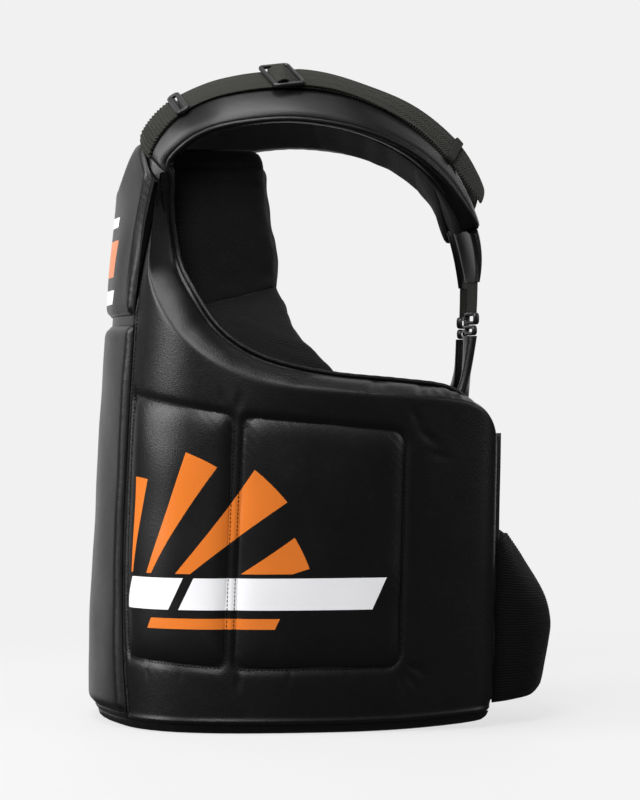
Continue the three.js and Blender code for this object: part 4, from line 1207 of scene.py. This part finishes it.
def make_front_lining():
    """A cushion of mesh lining in two pieces behind the chest."""
    shape = CUSHION_SHAPE
    seam = LINING["seam"]
    half_gap = LINING["seam_gap"] / 2
    spans = {
        "lower": (level_line(LINING["low"]), level_line(seam - half_gap)),
        "upper": (level_line(seam + half_gap), cushion_top),
    }
    for name, (low, high) in spans.items():
        columns, rows = GRID[name]
        turn, t = pair(np.pi * np.linspace(shape["first"], shape["last"], columns), spread(rows, crowd=0.3))
        height = mix(low(turn), high(turn), t)
        back = cushion_point(turn, height, 0)
        face = cushion_point(turn, height, 1)
        run = flat_run(face)
        relief = waves("cushion", run, height) + waves("cushion_slack", run, height)
        if name == "upper":
            below = high(turn) - height
            relief = relief + rolled(height - seam + 1, shape["seam_roll"], shape["seam_reach"])
            relief = relief + rolled(below, shape["top_roll"], shape["top_reach"])
            at_side = ease_between(np.abs(np.cos(turn)), shape["crease_from"], shape["crease_to"])
            for level, deep in zip(*CREASES.values()):
                crease = bell(below - level - waves("cushion_crease", run, height), shape["crease_half"])
                relief = relief - deep * crease * at_side
        edge = quarter(np.minimum(turn, np.pi - turn), shape["edge"])
        face = face + faced(face, back) * (relief * edge)[..., None]
        grids = (back, face, (run, height))
        cover(f"front_lining_{name}", grids, "lining", f"lining_front_{name}")


def make_side_lining():
    """A thin layer of mesh lining on each side wall."""
    under_arm = {column: RIM[column][SIDE_LINING["first_rim"] :] for column in ("wrap", "ridge", "rise")}
    columns, rows = GRID["side_lining"]
    s, t = pair(np.linspace(0, 1, columns), spread(rows, crowd=0.2))
    wrap = mix(SIDE_LINING["from"], SIDE_LINING["to"], s)
    low = HEM_TOP + hem_rise(wrap) + SIDE_LINING["inset"]
    ridge, rise = (look(under_arm, "wrap", wrap, column) for column in ("ridge", "rise"))
    high = ridge + rise - SIDE_LINING["inset"]
    height = mix(low, high, t)
    from_edge = np.minimum(height - low, high - height)
    soft = waves("side_lining", wrap, height)
    soft = soft + rolled(from_edge, SIDE_LINING["roll"], SIDE_LINING["roll_reach"])
    behind = np.maximum(LINING["gap"] + LINING["thick"] + soft, LINING["gap"] + LINING["thin"])
    wall = -wall_thick(wrap, height)
    grids = wall_grids(wrap, height, wall - LINING["gap"], wall - behind)
    for side in SIDES:
        made = cover("side_lining", grids, "lining", "lining_side", side=side)
        sheet_of(grids[1], [sided("side_panel", side)])


yoke_middle = np.stack(
    [(np.array(YOKE_SECTIONS["neck_" + a]) + np.array(YOKE_SECTIONS["rim_" + a])) / 2 for a in "xyz"], -1
)
YOKE_SECTIONS["run"] = np.concatenate([[0], np.cumsum(np.linalg.norm(np.diff(yoke_middle, axis=0), axis=1))])
YOKE_LENGTH = YOKE_SECTIONS["run"][-1]
# Small steps for reading directions: along the yoke, the strap, the rim and the belt
STEP = {"yoke": 0.004, "strap": 0.01, "rim": 0.005, "belt": 0.01}


def yoke_edge(along, edge):
    run = np.asarray(along, float) * YOKE_LENGTH
    return np.stack([look(YOKE_SECTIONS, "run", run, edge + "_" + axis) for axis in "xyz"], -1)


def yoke_width(along):
    return np.linalg.norm(yoke_edge(along, "neck") - yoke_edge(along, "rim"), axis=-1)


def yoke_frame(along):
    """Directions on the yoke: along it to the rear, across it to the rim, and up out of it."""
    step = STEP["yoke"]

    def middle(t):
        return (yoke_edge(t, "neck") + yoke_edge(t, "rim")) / 2

    ahead = unit(middle(np.minimum(along + step, 1)) - middle(np.maximum(along - step, 0)))
    across = unit(yoke_edge(along, "rim") - yoke_edge(along, "neck"))
    up = unit(np.cross(across, ahead))
    return ahead, np.cross(ahead, up), up


def yoke_point(along, share, lift):
    """A point over the left yoke: share across from neck to rim, and lift above its crowned face."""
    along, share, lift = arrays(along, share, lift)
    crown = YOKE["crown"] * np.maximum(1 - (2 * share - 1) ** 2, 0)
    neck = yoke_edge(along, "neck")
    base = neck + (yoke_edge(along, "rim") - neck) * share[..., None]
    return base + yoke_frame(along)[2] * (crown + lift)[..., None]


def yoke_share(along, share):
    past = np.maximum(along - YOKE["end"], 0) / (1 - YOKE["end"])
    return 0.5 + (share - 0.5) * np.sqrt(1 - (YOKE["taper"] * past) ** 2)


def yoke_depth(share):
    return mix(YOKE["thick"] + YOKE["crown"], YOKE["edge"], np.abs(2 * share - 1) ** 3)


def strap_share(along, v):
    return (STRAP["from_neck"] + STRAP["width"] * v) / yoke_width(along)


def strap_point(along, v, lift):
    return yoke_point(along, strap_share(along, v), lift)


def yoke_grids():
    columns, rows = GRID["yoke"]
    along, share = pair(np.linspace(0, 1, columns), spread(rows, crowd=0.5))
    edge = np.minimum(share, 1 - share) * yoke_width(along)
    ends = np.minimum(along, 1 - along) * YOKE_LENGTH
    roll = YOKE["roll"] * (1 - quarter(edge, YOKE["round"]))
    roll = np.maximum(roll, YOKE["end_roll"] * (1 - quarter(ends, YOKE["end_reach"])))
    run = along * YOKE_LENGTH
    soft = waves("yoke", run, share * YOKE_LINING["width"]) * quarter(edge, YOKE["soft_reach"])
    top = yoke_point(along, yoke_share(along, share), soft - roll)
    base = yoke_point(along, yoke_share(along, share), -yoke_depth(share) + roll * YOKE["under_share"])
    return top, base, (run, share * yoke_width(along))


def yoke_lining_grids():
    columns, rows = GRID["yoke_lining"]
    near, far = YOKE_LINING["near"], YOKE_LINING["far"]
    along, share = pair(np.linspace(YOKE_LINING["from"], 1, columns), np.linspace(near, far, rows))
    run, width = along * YOKE_LENGTH, share * YOKE_LINING["width"]
    from_seam = np.min(np.abs(along[..., None] - np.array(YOKE_LINING["seams"])), -1) * YOKE_LENGTH
    from_edge = np.minimum(share - near, far - share) * YOKE_LINING["width"]
    puff = YOKE_LINING["puff"] * quarter(from_seam, YOKE_LINING["seam_reach"])
    puff = puff * quarter(from_edge, YOKE_LINING["edge_reach"])
    beneath = LINING["gap"] + LINING["thin"] + puff + waves("yoke_lining", run, width)
    at = yoke_share(along, share)
    top = yoke_point(along, at, -yoke_depth(share) - LINING["gap"] * YOKE_LINING["seat"])
    return top, yoke_point(along, at, -yoke_depth(share) - beneath), (run, width)


def make_yokes():
    yoke = yoke_grids()
    lining = yoke_lining_grids()
    for side in SIDES:
        cover("shoulder_yoke_cover", yoke, "leather", "shoulder_yoke", side=side)
        made = cover("yoke_lining_pad", lining, "lining", "yoke_lining", side=side)
        sheet_of(lining[1], [sided("shoulder_yoke", side)])


def piping_section(share, angle):
    radius = PIPING["radius"] * (1 + PIPING["twist"] * np.sin(share * PIPING["twists"]) * np.cos(2 * angle))
    return radius * np.cos(angle), radius * np.sin(angle)


def make_piping():
    """Piped edges: armholes, outer rims of the yokes and the neckline."""
    u = np.linspace(0.006, 0.99, PATH["armhole"])
    step = STEP["rim"]
    over, fall = (rim(u + step, column) - rim(u - step, column) for column in ("wrap", "ridge"))
    away = (PIPING["radius"] - PIPING["armhole_sunk"]) / np.hypot(over, fall)
    wrap = rim(u, "wrap")
    depth = PIPING["depth"] - wall_thick(wrap, rim(u, "ridge")) + drop("rear", REAR_WRAP - wrap)
    armhole = wall_point(wrap - fall * away, rim(u, "ridge") + rim(u, "rise") + over * away, depth)
    along = np.linspace(0.975, 0.012, PATH["yoke"])
    share = yoke_share(along, 1) + PIPING["radius"] * PIPING["yoke_share"] / yoke_width(along)
    rim_line = yoke_point(along, share, -YOKE["edge"] / 2)
    line = along_path(np.concatenate([rim_line, armhole]), PIPING["step"])
    for _ in range(PIPING["passes"]):
        line[1:-1] = (line[:-2] + 2 * line[1:-1] + line[2:]) / 4
    piping = tube(line, piping_section)
    for side in SIDES:
        shaped("armhole_piping", piping, "trim", ["armhole_binding", "yoke_binding"], side)
    q = np.linspace(-PIPING["neck_share"], PIPING["neck_share"], PATH["neck"])
    height = mix(HEM_TOP, front_top(q), 1)
    wrap = q * (seam_wrap(height) - SEAM_GAP)
    lift = (PIPING["radius"] - PIPING["neck_sunk"]) * np.hypot(1, np.gradient(height, wrap))
    neck = wall_point(wrap, height + lift, -wall_thick(wrap, height) / 2)
    shaped("neck_piping", tube(neck, piping_section), "trim", ["neck_binding"])


def tail_lift(along, v=0.5):
    """Height of the free tail over the yoke: its neck edge stands up towards the tip."""
    stand = TAIL_TWIST["lift"] * ease_between(along, TAIL_TWIST["from"], TAIL_TWIST["to"])
    return look(TAIL_LIFT, "along", along, "lift") + stand * (0.5 - v)


def flat_lift(along, v=0.5):
    return STRAP["lift"] + 0 * along * v


def raised(lift, by):
    return lambda along, v=0.5: lift(along, v) + by


def webbing_band(first, last, lift, rib=0.0):
    """A band of webbing over the left yoke, as outer and inner grids."""
    columns, rows = GRID["strap"]
    along, v = pair(np.linspace(first, last, columns), spread(rows, crowd=0.4))
    run = along * YOKE_LENGTH
    edge = np.minimum(v, 1 - v) * STRAP["width"]
    hump = STRAP["edge"] * (1 - quarter(edge, STRAP["edge_reach"]))
    ribs = rib * (0.5 + 0.5 * np.sin(2 * np.pi * run / STRAP["rib_pitch"]))
    base = lift(along, v)
    outer = strap_point(along, v, base + STRAP["thick"] - hump + ribs)
    inner = strap_point(along, v, base + hump)
    return outer, inner, (run, v * STRAP["width"])


def fitting_place(along, lift):
    """Place of a fitting over the strap, and its directions ahead, across and up."""
    step = STEP["strap"]

    def point(at, v=0.5):
        return strap_point(at, v, lift(at, v))

    ahead = unit(point(along + step) - point(along - step))
    up = unit(np.cross(point(along, 1.0) - point(along, 0.0), ahead))
    return point(along), ahead, np.cross(up, ahead), up


def turned(place, degrees):
    """The same place with its fitting turned on the strap, its outer end towards the rear."""
    middle, ahead, across, up = place
    cos, sin = math.cos(math.radians(degrees)), math.sin(math.radians(degrees))
    return middle, cos * ahead + sin * across, cos * across - sin * ahead, up


def rounded_loop(length, width, corner):
    """A rounded rectangle round the origin, as offsets ahead and aside."""
    turns = []
    for k, (x, y) in enumerate(((1, 1), (-1, 1), (-1, -1), (1, -1))):
        angle = np.linspace(k, k + 1, LOOP["steps"]) * np.pi / 2
        centre = np.array([x * (length / 2 - corner), y * (width / 2 - corner)])
        turns.append(centre + corner * np.stack([np.cos(angle), np.sin(angle)], -1))
    loop = np.concatenate(turns)
    return along_path(np.concatenate([loop, loop[:1]]), LOOP["spacing"])[:-1]


def bar_section(wide, tall):
    """Section of a moulded bar with soft corners."""

    def section(share, angle):
        c, s = np.cos(angle), np.sin(angle)
        power = LOOP["square"]
        return wide / 2 * np.sign(c) * np.abs(c) ** power, tall / 2 * np.sign(s) * np.abs(s) ** power

    return section


def loop_part(place, size):
    middle, ahead, across, up = place
    flat = rounded_loop(size["length"] - size["bar"], size["width"] - size["bar"], size["corner"])
    path = middle + flat[:, :1] * ahead + flat[:, 1:] * across
    return tube(path, bar_section(size["bar"], size["thick"]), up, True)


def slider_part(place):
    """The slider's frame with its cross bar."""
    middle, _, across, up = place
    half = (SLIDER["width"] - SLIDER["bar_inset"]) / 2
    path = middle + np.linspace(-half, half, LOOP["bar_points"])[:, None] * across
    bar = tube(path, bar_section(SLIDER["bar"], SLIDER["thick"] + SLIDER["bar_proud"]), up)
    return together([loop_part(place, SLIDER), bar])


def keeper_part(place):
    """The loop that holds the tail down: it runs round the strap."""
    middle, ahead, across, up = place
    clear = 2 * KEEPER["clear"]
    around = rounded_loop(STRAP["thick"] + clear, STRAP["width"] + clear, KEEPER["corner"])
    path = middle + around[:, :1] * up + around[:, 1:] * across
    return tube(path, bar_section(KEEPER["wall"], KEEPER["length"]), ahead, True)


def make_straps():
    lap = (RING["length"] / 2 + RING["gap"]) / YOKE_LENGTH * RING["lap"]
    ring_at = FITTING_AT["ring"]
    bands = {
        "strap_tab": webbing_band(STRAP_RUN["start"], ring_at - lap, flat_lift, STRAP["tab_rib"]),
        "shoulder_strap": webbing_band(ring_at + lap, STRAP_RUN["end"], flat_lift),
        "strap_tail": webbing_band(STRAP_RUN["tail_start"], STRAP_RUN["tail_end"], tail_lift),
    }
    slider_lift = raised(flat_lift, STRAP["thick"] + SLIDER["stand"] + SLIDER["thick"] / 2)
    ring = fitting_place(ring_at, raised(flat_lift, RING["thick"] / 2))
    slider = turned(fitting_place(FITTING_AT["slider"], slider_lift), SLIDER["turn"])
    keeper = fitting_place(FITTING_AT["keeper"], raised(tail_lift, STRAP["thick"] / 2))
    fittings = {
        "strap_ring": ("loop", loop_part(ring, RING), "plastic"),
        "strap_slider": ("frame", slider_part(slider), "plastic"),
        "strap_keeper": ("loop", keeper_part(keeper), "webbing"),
    }
    for side in SIDES:
        for name, band in bands.items():
            cover(name + "_web", band, "webbing", name, side=side)
        for name, (form, part, finish) in fittings.items():
            shaped(f"{name}_{form}", part, finish, [name], side)


def seat_row(height):
    behind = LINING["gap"] + LINING["thick"] + BACK_SEAT["stand"]
    return wall_point(BACK_SEAT["wrap"], height, -wall_thick(BACK_SEAT["wrap"], height) - behind)


seats = [seat_row(BACK_SEAT["lower"]), seat_row(BACK_SEAT["upper"])]
BACK_LINE = {
    "height": (BACK_SEAT["lower"], BACK_SEAT["upper"], *BACK_RUN["height"]),
    "x": (seats[0][0], seats[1][0], *BACK_RUN["x"]),
    "y": (seats[0][1], seats[1][1], *BACK_RUN["y"]),
    "turn": (BACK_SEAT["turn"], BACK_SEAT["turn"], *BACK_RUN["turn"]),
}


def back_point(height, across, out):
    """A point of the left back run: across its width, and out from its middle."""
    height, across, out = arrays(height, across, out)
    x, y, turn = (look(BACK_LINE, "height", height, column) for column in ("x", "y", "turn"))
    cos, sin = np.cos(np.radians(-turn)), np.sin(np.radians(-turn))
    return np.stack([x + cos * across - sin * out, y + sin * across + cos * out, height], -1)


def buckle_place(height):
    middle = back_point(height, 0, 0)
    across = back_point(height, 1, 0) - middle
    out = back_point(height, 0, 1) - middle
    return middle, np.cross(across, out), across, out


def thinned(thick, least, edge):
    """Half-thickness of a layer that thins to a share of it at its edge."""
    return thick / 2 * (least + (1 - least) * edge)


def back_tab_grids():
    columns, rows = GRID["back_tab"]
    t, v = pair(np.linspace(0, 1, columns), spread(rows, crowd=0.5))
    ahead = yoke_frame(1.0)[0]
    soft = quarter(np.minimum(v, 1 - v), BACK_TAB["round"])
    share = mix(BACK_TAB["from"], BACK_TAB["to"], v)
    across = (2 * v - 1) * BACK_TAB_END["half"]
    end_half = thinned(BACK_TAB_END["thick"], WEB_EDGE, soft)
    w = t[..., None]
    faces = []
    for side in (1, -1):
        start = yoke_point(1.0, share, BACK_TAB["lift"] + side * soft * BACK_TAB["thick"] / 2)
        start = start + ahead * BACK_TAB["gap"]
        bend = start + ahead * BACK_TAB["reach"]
        end = back_point(BACK_TAB_END["height"], across, side * end_half)
        faces.append((1 - w) ** 2 * start + 2 * w * (1 - w) * bend + w * w * end)
    return *faces, (t * BACK_TAB["cut_long"], v * BACK_TAB["cut_wide"])


def back_web_grids(web):
    columns, rows = GRID["back_web"]
    down, across = pair(np.linspace(0, 1, columns), spread(rows, crowd=0.4))
    half = mix(web["half_from"], web["half_to"], down)
    height = mix(web["from"], web["to"], down)
    thin = thinned(web["thick"], WEB_EDGE, quarter(np.minimum(across, 1 - across), web["round"]))
    faces = [back_point(height, (2 * across - 1) * half, side * thin) for side in (1, -1)]
    return *faces, (web["from"] - height, across * 2 * half)


def make_backs():
    tab = back_tab_grids()
    webs = {name: back_web_grids(web) for name, web in BACK_WEBS.items()}
    buckles = {name: loop_part(buckle_place(half["height"]), half) for name, half in BUCKLE_HALVES.items()}
    for side in SIDES:
        cover("back_tab_cover", tab, "leather", "back_tab", side=side)
        for name, web in webs.items():
            cover(name + "_cloth", web, BACK_WEBS[name]["finish"], name, side=side)
        for name, part in buckles.items():
            shaped(name + "_body", part, "plastic", [name], side)


def belt_point(p, w):
    """The slack belt: a share p from its left end to its right end, and a share w from its top edge down."""
    swing = np.sin(np.pi * p)
    height = mix(BELT["top"] - BELT["sag"] * swing, BELT["bottom"] + BELT["rise"] * swing, w)
    end = wall_point(BELT["wrap"], height, BELT["depth"])
    bulge = look(BELT_BULGE, "height", height, "bulge")
    return np.stack([end[..., 0] * np.cos(np.pi * p), end[..., 1] + bulge * swing, height], -1)


def make_belt():
    ribs = int((BELT["top"] - BELT["bottom"]) / BELT["rib"])
    p, w = pair(np.linspace(0, 1, GRID["belt"]), np.linspace(0, 1, ribs * BELT["rib_points"] + 1))
    step = STEP["belt"]
    ahead = belt_point(p + step, w) - belt_point(p - step, w)
    down = belt_point(p, np.minimum(w + step, 1)) - belt_point(p, np.maximum(w - step, 0))
    out = unit(np.cross(down, ahead))
    cut = (p * BELT["cut_long"], w * BELT["cut_wide"])
    middle = belt_point(p, w) + out * (waves("belt", *cut) * np.sin(np.pi * p))[..., None]
    rib = BELT["rib_tall"] * np.abs(np.sin(np.pi * w * ribs))
    half = (BELT["thick"] / 2 - BELT["rib_share"] + rib)[..., None]
    grids = (middle + out * half, middle - out * half, cut)
    made = cover("waist_belt_elastic", grids, "elastic", "waist_belt")
    sheet_of(middle, ["belt_flap_left", "belt_flap_right"])


def make_flaps():
    columns, rows = GRID["flap"]
    u, v = pair(np.linspace(0, 1, columns), spread(rows, crowd=0.2))
    wrap = mix(FLAP["from"] - FLAP["under"], FLAP["to"], u)
    height = mix(FLAP["low"], FLAP["high"], v)
    edge = np.minimum(np.minimum(v, 1 - v) * FLAP["edge_tall"], np.minimum(u, 1 - u) * FLAP["edge_wide"])
    thin = thinned(FLAP["thick"], FLAP["edge"], quarter(edge, FLAP["edge_reach"]))
    depth = FLAP["depth"] - FLAP["thick"] / 2 + waves("flap", height, wrap)
    grids = wall_grids(wrap, height, depth + thin, depth - thin)
    for side in SIDES:
        cover("belt_flap_cover", grids, "trim", "belt_flap", side=side)


make_sides()
make_front()
make_hem()
make_front_lining()
make_side_lining()
make_yokes()
make_piping()
make_straps()
make_backs()
make_belt()
make_flaps()

# Pale floor that fades into a pale surround, and soft studio light; lengths here are metres
SURROUND = {"radius": 12, "tone": 0.88}
UNLIT_RAYS = ("diffuse", "glossy", "transmission", "shadow", "volume_scatter")
FLOOR = {"radius": 2.6, "corners": 96, "fade": (0.6, 1.6), "glow": 0.7, "drift": 300, "tones": (0.095, 0.105)}
WORLD_TONE = 0.05
LIGHTS_AIM = Vector((0, 0, 0.3))
SOFTBOXES = {
    "overhead": {"at": (0.6, -0.2, 2.1), "size": (1.1, 1.8), "watts": 44},
    "front": {"at": (0.5, -2.3, 1.4), "size": (1.2, 1.8), "watts": 72},
    "rear": {"at": (0.6, 2.0, 1.2), "size": (0.7, 1.6), "watts": 10},
    "near": {"at": (2.5, -0.9, 2.1), "size": (1.6, 1.6), "watts": 56},
    "backdrop": {"at": (-2.4, 0, 1.1), "size": (5, 3.4), "watts": 46},
}


def make_floor():
    ring = np.linspace(0, 2 * np.pi, FLOOR["corners"], endpoint=False)
    points = [(FLOOR["radius"] * math.cos(a), FLOOR["radius"] * math.sin(a), 0) for a in ring]
    mesh = bpy.data.meshes.new("floor")
    mesh.from_pydata(points, [], [list(range(len(points)))])
    floor = placed("floor", mesh)
    glow = {"Emission_Strength": FLOOR["glow"], "Emission_Color": grey(1.0)}
    finish = Finish("pale_floor", Roughness=0.7, Specular_IOR_Level=0.1, **glow)
    place = finish.place()
    away = finish.node("ShaderNodeVectorMath", {"operation": "LENGTH"}, {"Vector": place})["Value"]
    finish.feed(finish.shader.inputs["Alpha"], finish.remap(away, FLOOR["fade"], (1, 0), "SMOOTHSTEP"))
    tone = finish.noise(place, FLOOR["drift"], 2)
    mesh.materials.append(finish.dress(finish.colour(tone, *[grey(level) for level in FLOOR["tones"]])))
    floor.visible_glossy = False


def make_surround():
    """A pale ball round the scene that only the camera sees."""
    bpy.ops.mesh.primitive_uv_sphere_add(segments=48, ring_count=24, radius=SURROUND["radius"])
    ball = bpy.context.object
    ball.name = "surround"
    for ray in UNLIT_RAYS:
        setattr(ball, "visible_" + ray, False)
    glow = {"Emission_Strength": 1.0, "Emission_Color": grey(SURROUND["tone"])}
    finish = Finish("pale_surround", Base_Color=grey(0.0), Specular_IOR_Level=0.0, **glow)
    ball.data.materials.append(finish.material)


def make_lights():
    world = bpy.data.worlds.new("studio")
    world.use_nodes = True
    bpy.context.scene.world = world
    world.node_tree.nodes["Background"].inputs["Color"].default_value = grey(WORLD_TONE)
    for name, box in SOFTBOXES.items():
        light = bpy.data.lights.new(name, "AREA")
        light.shape = "RECTANGLE"
        light.size, light.size_y = box["size"]
        light.energy = box["watts"]
        lamp = placed(name, light)
        lamp.location = box["at"]
        lamp.rotation_euler = (LIGHTS_AIM - lamp.location).to_track_quat("-Z", "Y").to_euler()


make_floor()
make_surround()
make_lights()
bpy.context.scene.view_settings.view_transform = "Standard"
